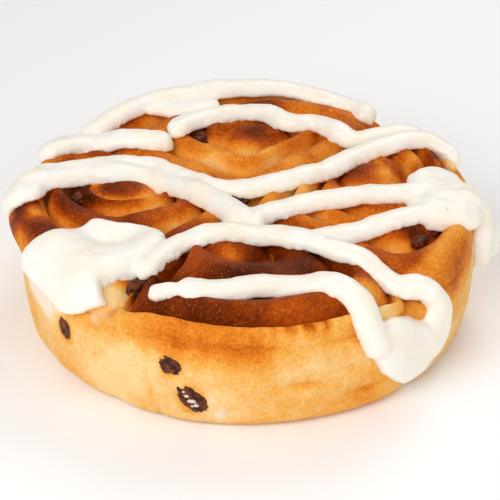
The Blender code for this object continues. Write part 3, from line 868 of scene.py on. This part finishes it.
class Crust:
    """Finds places on the baked crust from their unrolled coordinates."""

    def __init__(self, bread):
        bpy.context.view_layer.update()
        self.tree = BVHTree.FromObject(bread, bpy.context.evaluated_depsgraph_get())

    @staticmethod
    def hull(x, y):
        """The point and the outward normal on a smooth drum round the bun."""
        distance = math.hypot(x, y)
        heading = Vector((x, y, 0)) / distance
        top = crown_height(heading * min(distance, FLAT_RADIUS))
        tilt = min(math.pi / 2, max(0.0, distance - FLAT_RADIUS) / SHOULDER_RADIUS)
        normal = heading * math.sin(tilt) + Vector((0, 0, math.cos(tilt)))
        down = max(0.0, distance - FLAT_RADIUS - SHOULDER_RADIUS * math.pi / 2)
        hub = heading * min(distance, FLAT_RADIUS) + Vector((0, 0, top - SHOULDER_RADIUS - down))
        return hub + normal * SHOULDER_RADIUS, normal

    def surface(self, x, y):
        """The place where the crust is met by looking straight in at an unrolled place."""
        point, normal = self.hull(x, y)
        hit = self.tree.ray_cast(point + normal * PROBE_HEIGHT, -normal)[0]
        return (hit if hit else point), normal

    def ridge_level(self, x, y):
        """How high over the drum a soft run of icing rests: on the ridges round a place."""
        point, normal = self.hull(x, y)
        levels = [(self.surface(x, y)[0] - point).dot(normal)]
        for k in range(PROBES):
            angle = FULL_TURN * k / PROBES
            hit, _ = self.surface(x + PROBE_SPREAD * math.cos(angle), y + PROBE_SPREAD * math.sin(angle))
            levels.append((hit - point).dot(normal))
        levels.sort()
        return sum(levels[-HIGHEST_PROBES:]) / HIGHEST_PROBES

    def resting_line(self, places, rounds, closed=False):
        """The points and normals at which icing rests along a line of places, eased along it."""
        levels = [self.ridge_level(*place) for place in places]
        for _ in range(rounds):
            before = [levels[-1] if closed else levels[0], *levels[:-1]]
            after = [*levels[1:], levels[0] if closed else levels[-1]]
            levels = [(a + 2 * b + c) / 4 for a, b, c in zip(before, levels, after)]
        line = []
        for place, level in zip(places, levels):
            point, normal = self.hull(*place)
            line.append((point + normal * level, normal))
        return line


def path_places(corners, step):
    """Evenly spaced places along a smooth curve through the corners of a path, in metres."""
    corners = [in_metres(corner) for corner in corners]
    ends = [2 * corners[0] - corners[1], *corners, 2 * corners[-1] - corners[-2]]
    fine = []
    for a, b, c, d in zip(ends, ends[1:], ends[2:], ends[3:]):
        for k in range(PATH_PARTS):
            u = k / PATH_PARTS
            bend = (2 * a - 5 * b + 4 * c - d) * u**2 + (3 * b - a - 3 * c + d) * u**3
            fine.append(0.5 * (2 * b + (c - a) * u + bend))
    fine.append(corners[-1])
    lengths = [0.0]
    for before, after in zip(fine, fine[1:]):
        lengths.append(lengths[-1] + (after - before).length)
    count = max(3, round(lengths[-1] / step))
    places = []
    segment = 0
    for k in range(count + 1):
        goal = lengths[-1] * k / count
        while segment < len(fine) - 2 and lengths[segment + 1] < goal:
            segment += 1
        span = lengths[segment + 1] - lengths[segment]
        places.append(fine[segment].lerp(fine[segment + 1], (goal - lengths[segment]) / span))
    return places


# The icing.


def bead_section(count):
    """The outline of a run of icing as seen on end: a low dome that overhangs a little at its foot."""
    outline = []
    for k in range(count + 1):
        angle = math.pi * k / count
        across = math.cos(angle)
        wide, tall = BEAD_FULLNESS
        outline.append((math.copysign(abs(across) ** wide, across), math.sin(angle) ** tall))
    return outline


def make_bead(crust, name, width, height, corners):
    """One piped run of icing: a rounded bead that rests on the ridges, with rounded ends."""
    places = crust.resting_line(path_places(corners, BEAD_STEP), rounds=BEAD_EASE)
    half = width * MM / 2
    section = bead_section(BEAD_SIDES)
    mesh = bmesh.new()
    rings = []
    last = len(places) - 1
    key = sum(ord(letter) for letter in name)
    for k, (point, normal) in enumerate(places):
        ahead = places[min(k + 1, last)][0] - places[max(k - 1, 0)][0]
        side = ahead.cross(normal).normalized()
        up = side.cross(ahead).normalized()
        run = k * BEAD_STEP
        swell = 1
        for share, length, layer in BEAD_SWELLS:
            swell += share * noise.noise(Vector((run / length, key, layer)))
        edge = min(run, (last - k) * BEAD_STEP) / (half * TIP_LENGTH)
        size = swell * math.sqrt(max(TIP_LEAST, 1 - (1 - min(1.0, edge)) ** 2))
        wander = noise.noise(Vector((run / BEAD_DRIFT_LENGTH, key, BEAD_DRIFT_LAYER)))
        drift = side * (BEAD_DRIFT * wander)
        ring = [point + drift + side * (half * size * s) + up * (height * MM * size * u) for s, u in section]
        ring.append(point + drift - up * BEAD_ROOT)
        rings.append([mesh.verts.new(place) for place in ring])
    sides = len(rings[0])
    for near, far in zip(rings, rings[1:]):
        for k in range(sides):
            after = (k + 1) % sides
            mesh.faces.new((near[k], far[k], far[after], near[after]))
    mesh.faces.new(rings[0])
    mesh.faces.new(reversed(rings[-1]))
    return mesh_object(mesh, name)


def make_pad(crust, name, thickness, centre, outline):
    """A pool of icing: a soft-edged pad that lies over the crust inside a closed outline."""
    closed = path_places((*outline, outline[0]), PAD_STEP)[:-1]
    middle = in_metres(centre)
    mesh = bmesh.new()
    upper = []
    lower = []
    for share, lift in PAD_ROWS:
        places = [middle.lerp(place, share) for place in closed]
        line = crust.resting_line(places, rounds=PAD_EASE, closed=True)
        upper.append([mesh.verts.new(point + normal * (thickness * MM * lift)) for point, normal in line])
        lower.append([mesh.verts.new(point - normal * BEAD_ROOT) for point, normal in line])
    point, normal = crust.resting_line([middle], rounds=0)[0]
    crown = mesh.verts.new(point + normal * thickness * MM)
    root = mesh.verts.new(point - normal * BEAD_ROOT)
    count = len(closed)
    for k in range(count):
        after = (k + 1) % count
        mesh.faces.new((upper[0][k], lower[0][k], lower[0][after], upper[0][after]))
        for rings, hub in ((upper, crown), (lower, root)):
            for outer, inner in zip(rings, rings[1:]):
                mesh.faces.new((outer[k], outer[after], inner[after], inner[k]))
            mesh.faces.new((rings[-1][k], rings[-1][after], hub))
    return mesh_object(mesh, name)


def soften(target, rounds):
    """Evens out a mesh, as thick icing settles."""
    mesh = bmesh.new()
    mesh.from_mesh(target.data)
    for _ in range(rounds):
        bmesh.ops.smooth_vert(
            mesh, verts=mesh.verts, factor=0.5, use_axis_x=True, use_axis_y=True, use_axis_z=True
        )
    mesh.to_mesh(target.data)
    mesh.free()


def ruffle(icing, crust, height):
    """Makes the icing's skin uneven: gently on top, and ragged near the crust, where it tore."""
    normals = [vertex.normal.copy() for vertex in icing.data.vertices]
    for vertex, normal in zip(icing.data.vertices, normals):
        gap = crust.tree.find_nearest(vertex.co)[3]
        edge = 1 - smooth_step(gap / TEAR_REACH)
        tear = two_waves(vertex.co, *TEAR_WAVES)
        swell = two_waves(vertex.co, *SKIN_WAVES)
        vertex.co += normal * height * (swell + edge * TEAR_STRENGTH * tear)


# The raisins.


def raisin_axes(raisin, normal):
    """The axes along a raisin, across it and out of the crust. Its turn is measured on the unrolled crust."""
    outward = Vector((*raisin.place, 0)).normalized()
    sideways = Vector((-outward.y, outward.x, 0))
    turn = math.radians(raisin.turn)
    heading = Vector((math.cos(turn), math.sin(turn), 0))
    along = sideways.cross(normal) * heading.dot(outward) + sideways * heading.dot(sideways)
    return Matrix((along, normal.cross(along), normal)).transposed()


def make_raisin(crust, raisin, depth):
    """A wrinkled raisin, lying along the crust and sunk into it."""
    point, normal = crust.surface(*in_metres(raisin.place))
    axes = raisin_axes(raisin, normal)
    mesh = bmesh.new()
    bmesh.ops.create_icosphere(mesh, subdivisions=RAISIN_DETAIL, radius=1.0)
    half = Vector(raisin.size) * MM / 2
    for vertex in mesh.verts:
        round_it = math.atan2(vertex.co.y, vertex.co.z)
        wrinkle = 1 + LOBE_HEIGHT * math.sin(RAISIN_LOBES * round_it + LOBE_TWIST * vertex.co.x)
        fold = abs(noise.noise(vertex.co * Vector(FOLD_STRETCH) + point * FOLD_OFFSET))
        crease = abs(noise.noise(vertex.co * CREASE_SCALE + point * CREASE_OFFSET))
        creased = CREASE_SHARE * min(1.0, CREASE_SHARPNESS * crease)
        wrinkle += depth * (min(1.0, FOLD_SHARPNESS * fold) + creased - WRINKLE_LEVEL)
        local = Vector(size * part * wrinkle for size, part in zip(half, vertex.co))
        vertex.co = point - normal * raisin.sink * MM + axes @ local
    return mesh_object(mesh, raisin.name + "_skin")


def make_flecks(raisin):
    """Lumps of pale flesh stuck to a torn raisin."""
    mesh = bmesh.new()
    for place, size in FLECKS:
        point, normal = raisin.surface(*in_metres(place))
        made = bmesh.ops.create_icosphere(mesh, subdivisions=FLECK_DETAIL, radius=1.0)["verts"]
        sideways = Vector((-normal.y, normal.x, 0)).normalized()
        axes = Matrix((sideways, normal.cross(sideways), normal)).transposed()
        for vertex in made:
            lump = 1 + FLECK_LUMPS * noise.noise(vertex.co * FLECK_LUMP_SCALE + point * FOLD_OFFSET)
            local = Vector(part * length * MM / 2 * lump for part, length in zip(vertex.co, size))
            vertex.co = point + axes @ local
    return mesh_object(mesh, "raisin_flesh")


# Materials.


def add(tree, kind, inputs=None, output=0, **settings):
    """Adds a node, applies its settings, fills its inputs with values or links, and returns an output."""
    made = tree.nodes.new(kind)
    for key, value in settings.items():
        setattr(made, key, value)
    for key, value in (inputs or {}).items():
        if isinstance(value, bpy.types.NodeSocket):
            tree.links.new(value, made.inputs[key])
        else:
            made.inputs[key].default_value = value
    return made.outputs[output]


def sized(place, length, detail, roughness=0.5):
    """The inputs of a noise whose lumps are about a length across."""
    return {"Vector": place, "Scale": 1 / length, "Detail": detail, "Roughness": roughness}


def within(amount, low, high, to_low=0.0, to_high=1.0):
    """The inputs that move an amount from one range to another, and hold it inside it."""
    return {"Value": amount, "From Min": low, "From Max": high, "To Min": to_low, "To Max": to_high}


def new_material(name):
    """An empty node material, and its tree, shader and object coordinates."""
    material = bpy.data.materials.new(name)
    material.use_nodes = True
    tree = material.node_tree
    shader = tree.nodes["Principled BSDF"]
    place = add(tree, "ShaderNodeTexCoord", output="Object")
    return material, tree, shader, place


def set_sockets(shader, values):
    """Sets what is the same all over a surface on the shader's own sockets."""
    for name, value in values.items():
        shader.inputs[name].default_value = value


def shifted(tree, amount, wave, weight):
    """An amount with a wave added that swings to both sides of nothing."""
    swing = add(tree, "ShaderNodeMath", {0: wave, 1: weight, 2: -weight / 2}, operation="MULTIPLY_ADD")
    return add(tree, "ShaderNodeMath", {0: amount, 1: swing}, operation="ADD")


def mottled(tree, waves, span, colours):
    """A mix of two screen colours in soft lumps, which goes over between two levels of their noise."""
    lumps = add(tree, "ShaderNodeTexNoise", waves)
    share = add(tree, "ShaderNodeMapRange", within(lumps, *span))
    first, second = (linear(code) for code in colours)
    return add(tree, "ShaderNodeMix", {0: share, 6: first, 7: second}, output=2, data_type="RGBA")


def browned_colour(tree, amount, settings):
    """The crust's colour as it browns, from pale crumb to nearly burnt."""
    stops = (
        (0.00, settings.pale), (0.22, settings.golden), (0.42, AMBER_CRUST), (0.60, settings.brown),
        (0.80, CHESTNUT_CRUST), (1.00, settings.dark),
    )
    colour = add(tree, "ShaderNodeValToRGB", {"Fac": amount})
    elements = colour.node.color_ramp.elements
    while len(elements) < len(stops):
        elements.new(0.5)
    for element, (position, code) in zip(elements, stops):
        element.position = position
        element.color = linear(code)
    return colour


def blistered(tree, place, amount):
    """Where the egg wash has blistered into pale specks. They show in patches, and most on brown crust."""
    blister = add(tree, "ShaderNodeTexVoronoi", {"Vector": place, "Scale": 1 / BLISTER})
    speck = add(tree, "ShaderNodeMapRange", within(blister, 0.10, 0.30, 1.0, 0.0))
    patch = add(tree, "ShaderNodeTexNoise", sized(place, BLISTER_PATCH, 2))
    for share in (within(patch, 0.40, 0.58), within(amount, 0.3, 0.6, 0.15, 0.30)):
        shown = add(tree, "ShaderNodeMapRange", share)
        speck = add(tree, "ShaderNodeMath", {0: speck, 1: shown}, operation="MULTIPLY")
    return speck


def crust_material(settings):
    """Egg-washed bread crust, baked in a tin: pale where the dough was covered, and mottled brown above.

    The wash bakes to a dull, warm sheen, which is least dull on the darkest ridges.
    """
    material, tree, shader, place = new_material("egg_washed_crust")
    # The crust's darkness: its browning, with painted shade in the wall's dents and a slit at the front.
    amount = add(tree, "ShaderNodeAttribute", output="Fac", attribute_name="crust_darkness")
    for length, detail, roughness, weight in CRUST_MOTTLING:
        wave = add(tree, "ShaderNodeTexNoise", sized(place, length, detail, roughness))
        amount = shifted(tree, amount, wave, weight)
    speck = blistered(tree, place, amount)
    smear = add(tree, "ShaderNodeAttribute", output="Fac", attribute_name="smeared")
    wave = add(tree, "ShaderNodeTexNoise", sized(place, FILM_TEAR, 4))
    film = add(tree, "ShaderNodeMapRange", within(shifted(tree, smear, wave, 0.7), 0.25, 0.75, 0.0, 0.85))
    colour = browned_colour(tree, amount, settings)
    for share, code in ((speck, BLISTER_SKIN), (film, ICING_FILM)):
        layers = {0: share, 6: colour, 7: linear(code)}
        colour = add(tree, "ShaderNodeMix", layers, output=2, data_type="RGBA")
    tree.links.new(colour, shader.inputs["Base Color"])
    sheen = add(tree, "ShaderNodeMapRange", within(amount, 0.2, 0.8, 0.65, 0.50))
    tree.links.new(sheen, shader.inputs["Roughness"])
    relief = add(tree, "ShaderNodeTexNoise", sized(place, CRUST_GRAIN, 5, 0.65))
    relief = shifted(tree, relief, speck, 0.4)
    bumps = add(tree, "ShaderNodeBump", {"Height": relief, "Strength": 0.8, "Distance": 0.6 * MM})
    tree.links.new(bumps, shader.inputs["Normal"])
    set_sockets(shader, {
        "Specular IOR Level": 0.15, "Specular Tint": linear(CRUST_SHEEN),
        "Subsurface Weight": 0.06, "Subsurface Radius": (1.0, 0.5, 0.25), "Subsurface Scale": 2 * MM,
    })
    return material


def icing_material(settings):
    """Thick sugar icing, piped and set: satin white, with a little light passing through its edges."""
    material, tree, shader, place = new_material("sugar_icing")
    colour = mottled(tree, sized(place, ICING_BLUSH, 2), (0.35, 0.65), (settings.colour, ICING_SHADE))
    tree.links.new(colour, shader.inputs["Base Color"])
    relief = add(tree, "ShaderNodeTexNoise", sized(place, ICING_RIPPLE, 3))
    bumps = add(tree, "ShaderNodeBump", {"Height": relief, "Strength": 0.35, "Distance": 0.4 * MM})
    tree.links.new(bumps, shader.inputs["Normal"])
    set_sockets(shader, {
        "Roughness": 0.38, "Subsurface Weight": 0.35, "Subsurface Radius": (1.0, 0.75, 0.5),
        "Subsurface Scale": 2.2 * MM,
    })
    return material


def raisin_material(settings):
    """Raisin skin, dried and baked: almost black and wrinkled, with a slightly sticky shine and spots of
    painted highlight.
    """
    material, tree, shader, place = new_material("baked_raisin_skin")
    # Painted highlight: brown-red spots mixed at random into the near-black skin.
    colour = mottled(tree, sized(place, RAISIN_HIGHLIGHT_SPOTS, 3), (0.4, 0.65), (settings.colour, RAISIN_PAINTED_HIGHLIGHT))
    tree.links.new(colour, shader.inputs["Base Color"])
    relief = add(tree, "ShaderNodeTexNoise", sized(place, RAISIN_CREASE, 4))
    bumps = add(tree, "ShaderNodeBump", {"Height": relief, "Strength": 0.6, "Distance": 0.3 * MM})
    tree.links.new(bumps, shader.inputs["Normal"])
    set_sockets(shader, {"Roughness": 0.45, "Specular IOR Level": 0.25})
    return material


def plain_material(name, waves, colours, roughness):
    """A material of two colours in soft lumps, with an even sheen."""
    material, tree, shader, place = new_material(name)
    colour = mottled(tree, sized(place, *waves), (0, 1), colours)
    tree.links.new(colour, shader.inputs["Base Color"])
    set_sockets(shader, {"Roughness": roughness})
    return material


def flesh_material():
    """Raisin flesh, torn open: pale, sugary and dull."""
    return plain_material("raisin_flesh", (FLESH_GRAIN, 3), FLESH, 0.5)


def crumb_material():
    """Bread crust, broken into loose crumbs: matt and brown."""
    return plain_material("crust_crumb", (CRUMB_GRAIN, 2), CRUMB, 0.75)


def floor_material():
    """Painted studio board: plain, pale and matt."""
    material, _, shader, _ = new_material("pale_floor")
    set_sockets(shader, {"Base Color": linear(FLOOR), "Roughness": 0.9})
    return material


# The crumbs.


def crumb_tree():
    """Geometry nodes that scatter small broken crumbs over the top of a surface."""
    tree = bpy.data.node_groups.new("scattered_crumbs", "GeometryNodeTree")
    for name, way, kind in (
        ("Geometry", "INPUT", "Geometry"), ("Density", "INPUT", "Float"), ("Size", "INPUT", "Float"),
        ("Material", "INPUT", "Material"), ("Geometry", "OUTPUT", "Geometry"),
    ):
        tree.interface.new_socket(name, in_out=way, socket_type=f"NodeSocket{kind}")
    given = tree.nodes.new("NodeGroupInput").outputs
    normal = add(tree, "GeometryNodeInputNormal")
    lift = add(tree, "ShaderNodeSeparateXYZ", {0: normal}, output="Z")
    upward = add(
        tree, "FunctionNodeCompare", {0: lift, 1: CRUMB_LEVEL}, data_type="FLOAT", operation="GREATER_THAN"
    )
    points = add(tree, "GeometryNodeDistributePointsOnFaces", {
        "Mesh": given["Geometry"], "Selection": upward, "Density": given["Density"], "Seed": SCATTER_SEED,
    })
    ball = add(tree, "GeometryNodeMeshIcoSphere", {"Radius": 0.5, "Subdivisions": 1})
    turn, size = (
        add(tree, "FunctionNodeRandomValue", {0: low, 1: high, "Seed": seed}, data_type="FLOAT_VECTOR")
        for low, high, seed in (CRUMB_TURNS, CRUMB_SIZES)
    )
    scale = add(tree, "ShaderNodeVectorMath", {0: size, "Scale": given["Size"]}, operation="SCALE")
    placed = add(tree, "GeometryNodeInstanceOnPoints", {
        "Points": points, "Instance": ball, "Rotation": turn, "Scale": scale,
    })
    real = add(tree, "GeometryNodeRealizeInstances", {"Geometry": placed})
    painted = add(tree, "GeometryNodeSetMaterial", {"Geometry": real, "Material": given["Material"]})
    tree.links.new(painted, tree.nodes.new("NodeGroupOutput").inputs[0])
    return tree


def grown_by(tree, source, name, values):
    """A plain mesh that a geometry tree makes from a source object's mesh, with its inputs by name."""
    made = bpy.data.objects.new(name, source.data)
    bpy.context.scene.collection.objects.link(made)
    modifier = made.modifiers.new(name, "NODES")
    modifier.node_group = tree
    for item in tree.interface.items_tree:
        if item.in_out == "INPUT" and item.name in values:
            modifier[item.identifier] = values[item.name]
    bpy.context.view_layer.update()
    evaluated = made.evaluated_get(bpy.context.evaluated_depsgraph_get())
    finished = bpy.data.meshes.new_from_object(evaluated)
    made.modifiers.clear()
    made.data = finished
    return made


# The stage.


def set_floor():
    """A wide plain floor under the bun."""
    mesh = bmesh.new()
    bmesh.ops.create_grid(mesh, x_segments=1, y_segments=1, size=FLOOR_REACH)
    floor = mesh_object(mesh, "floor")
    floor.data.materials.append(floor_material())


def set_lights(settings):
    """Plain soft studio light: a wide key at the upper left, softer ones at the right and behind."""
    for name, place, size, share in LIGHTS:
        light = bpy.data.lights.new(name, "AREA")
        light.energy = settings.key * share
        light.size = size
        lamp = bpy.data.objects.new(name, light)
        bpy.context.scene.collection.objects.link(lamp)
        lamp.location = place
        lamp.rotation_euler = (Vector(LIGHTS_AIM) - lamp.location).to_track_quat("-Z", "Y").to_euler()
    world = bpy.data.worlds.new("studio")
    world.use_nodes = True
    set_sockets(world.node_tree.nodes["Background"], {"Color": linear(WORLD), "Strength": settings.fill})
    bpy.context.scene.world = world
    bpy.context.scene.view_settings.view_transform = "Standard"


def set_camera(settings):
    """The camera, above the front edge of the bun."""
    lens = bpy.data.cameras.new("camera")
    lens.sensor_width = SENSOR
    lens.lens = settings.lens
    lens.clip_start = NEAREST
    camera = bpy.data.objects.new("camera", lens)
    bpy.context.scene.collection.objects.link(camera)
    eye = Vector(EYE) * MM
    aim = Vector(AIM) * MM
    camera.location = eye
    camera.rotation_euler = (aim - eye).to_track_quat("-Z", "Y").to_euler()
    bpy.context.scene.camera = camera


# The operators.


class OBJECT_OT_bun_bread(bpy.types.Operator):
    """Bakes the four joined swirls and their wall as one loaf"""

    bl_idname = "object.bun_bread"
    bl_label = "Bake bread"

    def execute(self, context):
        settings = context.scene.bun_bread
        marks = []
        bread = make_body(BODY_STEPS)
        bread.name = "bread_crust"
        steps = (settings.steps_per_turn, settings.steps_across)
        join_solids(bread, [make_swirl(swirl, *steps, marks) for swirl in SWIRLS])
        mark_crust(bread, marks)
        raise_lumps(bread, settings.lumps)
        finish_piece(bread, crust_material(settings), "crust", "bread")
        return {"FINISHED"}


class OBJECT_OT_bun_icing(bpy.types.Operator):
    """Pipes the icing over the crust"""

    bl_idname = "object.bun_icing"
    bl_label = "Pipe icing"

    def execute(self, context):
        settings = context.scene.bun_icing
        crust = Crust(bpy.data.objects["bread_crust"])
        runs = [make_bead(crust, *bead) for bead in BEADS]
        runs += [make_pad(crust, *pad) for pad in PADS]
        icing = runs.pop()
        icing.name = "icing_runs"
        join_solids(icing, runs)
        remesh = icing.modifiers.new("even", "REMESH")
        remesh.mode = "VOXEL"
        remesh.voxel_size = settings.grain
        apply_modifiers(icing)
        soften(icing, SKIN_EASE)
        ruffle(icing, crust, settings.ripple)
        finish_piece(icing, icing_material(settings), "icing", "icing")
        return {"FINISHED"}


class OBJECT_OT_bun_raisins(bpy.types.Operator):
    """Sets the raisins into the crust"""

    bl_idname = "object.bun_raisins"
    bl_label = "Set raisins"

    def execute(self, context):
        settings = context.scene.bun_raisins
        crust = Crust(bpy.data.objects["bread_crust"])
        material = raisin_material(settings)
        for raisin in RAISINS:
            made = make_raisin(crust, raisin, settings.wrinkle)
            finish_piece(made, material, "raisin", raisin.name)
        flecks = make_flecks(Crust(bpy.data.objects["raisin_wall_lower_skin"]))
        finish_piece(flecks, flesh_material(), "raisin")
        return {"FINISHED"}


class OBJECT_OT_bun_crumbs(bpy.types.Operator):
    """Drops loose crumbs on the icing"""

    bl_idname = "object.bun_crumbs"
    bl_label = "Drop crumbs"

    def execute(self, context):
        settings = context.scene.bun_crumbs
        material = crumb_material()
        values = {"Density": settings.density, "Size": settings.size, "Material": material}
        crumbs = grown_by(crumb_tree(), bpy.data.objects["icing_runs"], "crumbs", values)
        if not crumbs.data.vertices:
            raise RuntimeError("no crumbs were scattered")
        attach(crumbs, "root")
        return {"FINISHED"}


class OBJECT_OT_bun_stage(bpy.types.Operator):
    """Sets the floor, the lights and the camera"""

    bl_idname = "object.bun_stage"
    bl_label = "Set stage"

    def execute(self, context):
        settings = context.scene.bun_stage
        set_floor()
        set_lights(settings)
        set_camera(settings)
        return {"FINISHED"}


class VIEW3D_PT_bun(bpy.types.Panel):
    """The steps of making the bun"""

    bl_label = "Chelsea bun round"
    bl_idname = "VIEW3D_PT_bun"
    bl_space_type = "VIEW_3D"
    bl_region_type = "UI"
    bl_category = "Bun"

    def draw(self, context):
        for step in STEPS:
            self.layout.operator(step.bl_idname)


SETTINGS = {
    "bun_bread": BreadSettings,
    "bun_icing": IcingSettings,
    "bun_raisins": RaisinSettings,
    "bun_crumbs": CrumbSettings,
    "bun_stage": StageSettings,
}
STEPS = (
    OBJECT_OT_bun_bread,
    OBJECT_OT_bun_icing,
    OBJECT_OT_bun_raisins,
    OBJECT_OT_bun_crumbs,
    OBJECT_OT_bun_stage,
)


def register():
    """Registers the classes and gives the scene its settings."""
    for name, group in SETTINGS.items():
        bpy.utils.register_class(group)
        setattr(bpy.types.Scene, name, bpy.props.PointerProperty(type=group))
    for step in (*STEPS, VIEW3D_PT_bun):
        bpy.utils.register_class(step)


def unregister():
    """Takes the classes and the settings away again."""
    for step in (VIEW3D_PT_bun, *reversed(STEPS)):
        bpy.utils.unregister_class(step)
    for name, group in SETTINGS.items():
        delattr(bpy.types.Scene, name)
        bpy.utils.unregister_class(group)


def main():
    """Makes the bun piece by piece."""
    register()
    noise.seed_set(WARP_SEED)
    bpy.ops.object.bun_bread()
    bpy.ops.object.bun_icing()
    bpy.ops.object.bun_raisins()
    bpy.ops.object.bun_crumbs()
    bpy.ops.object.bun_stage()


if __name__ == "__main__":
    main()
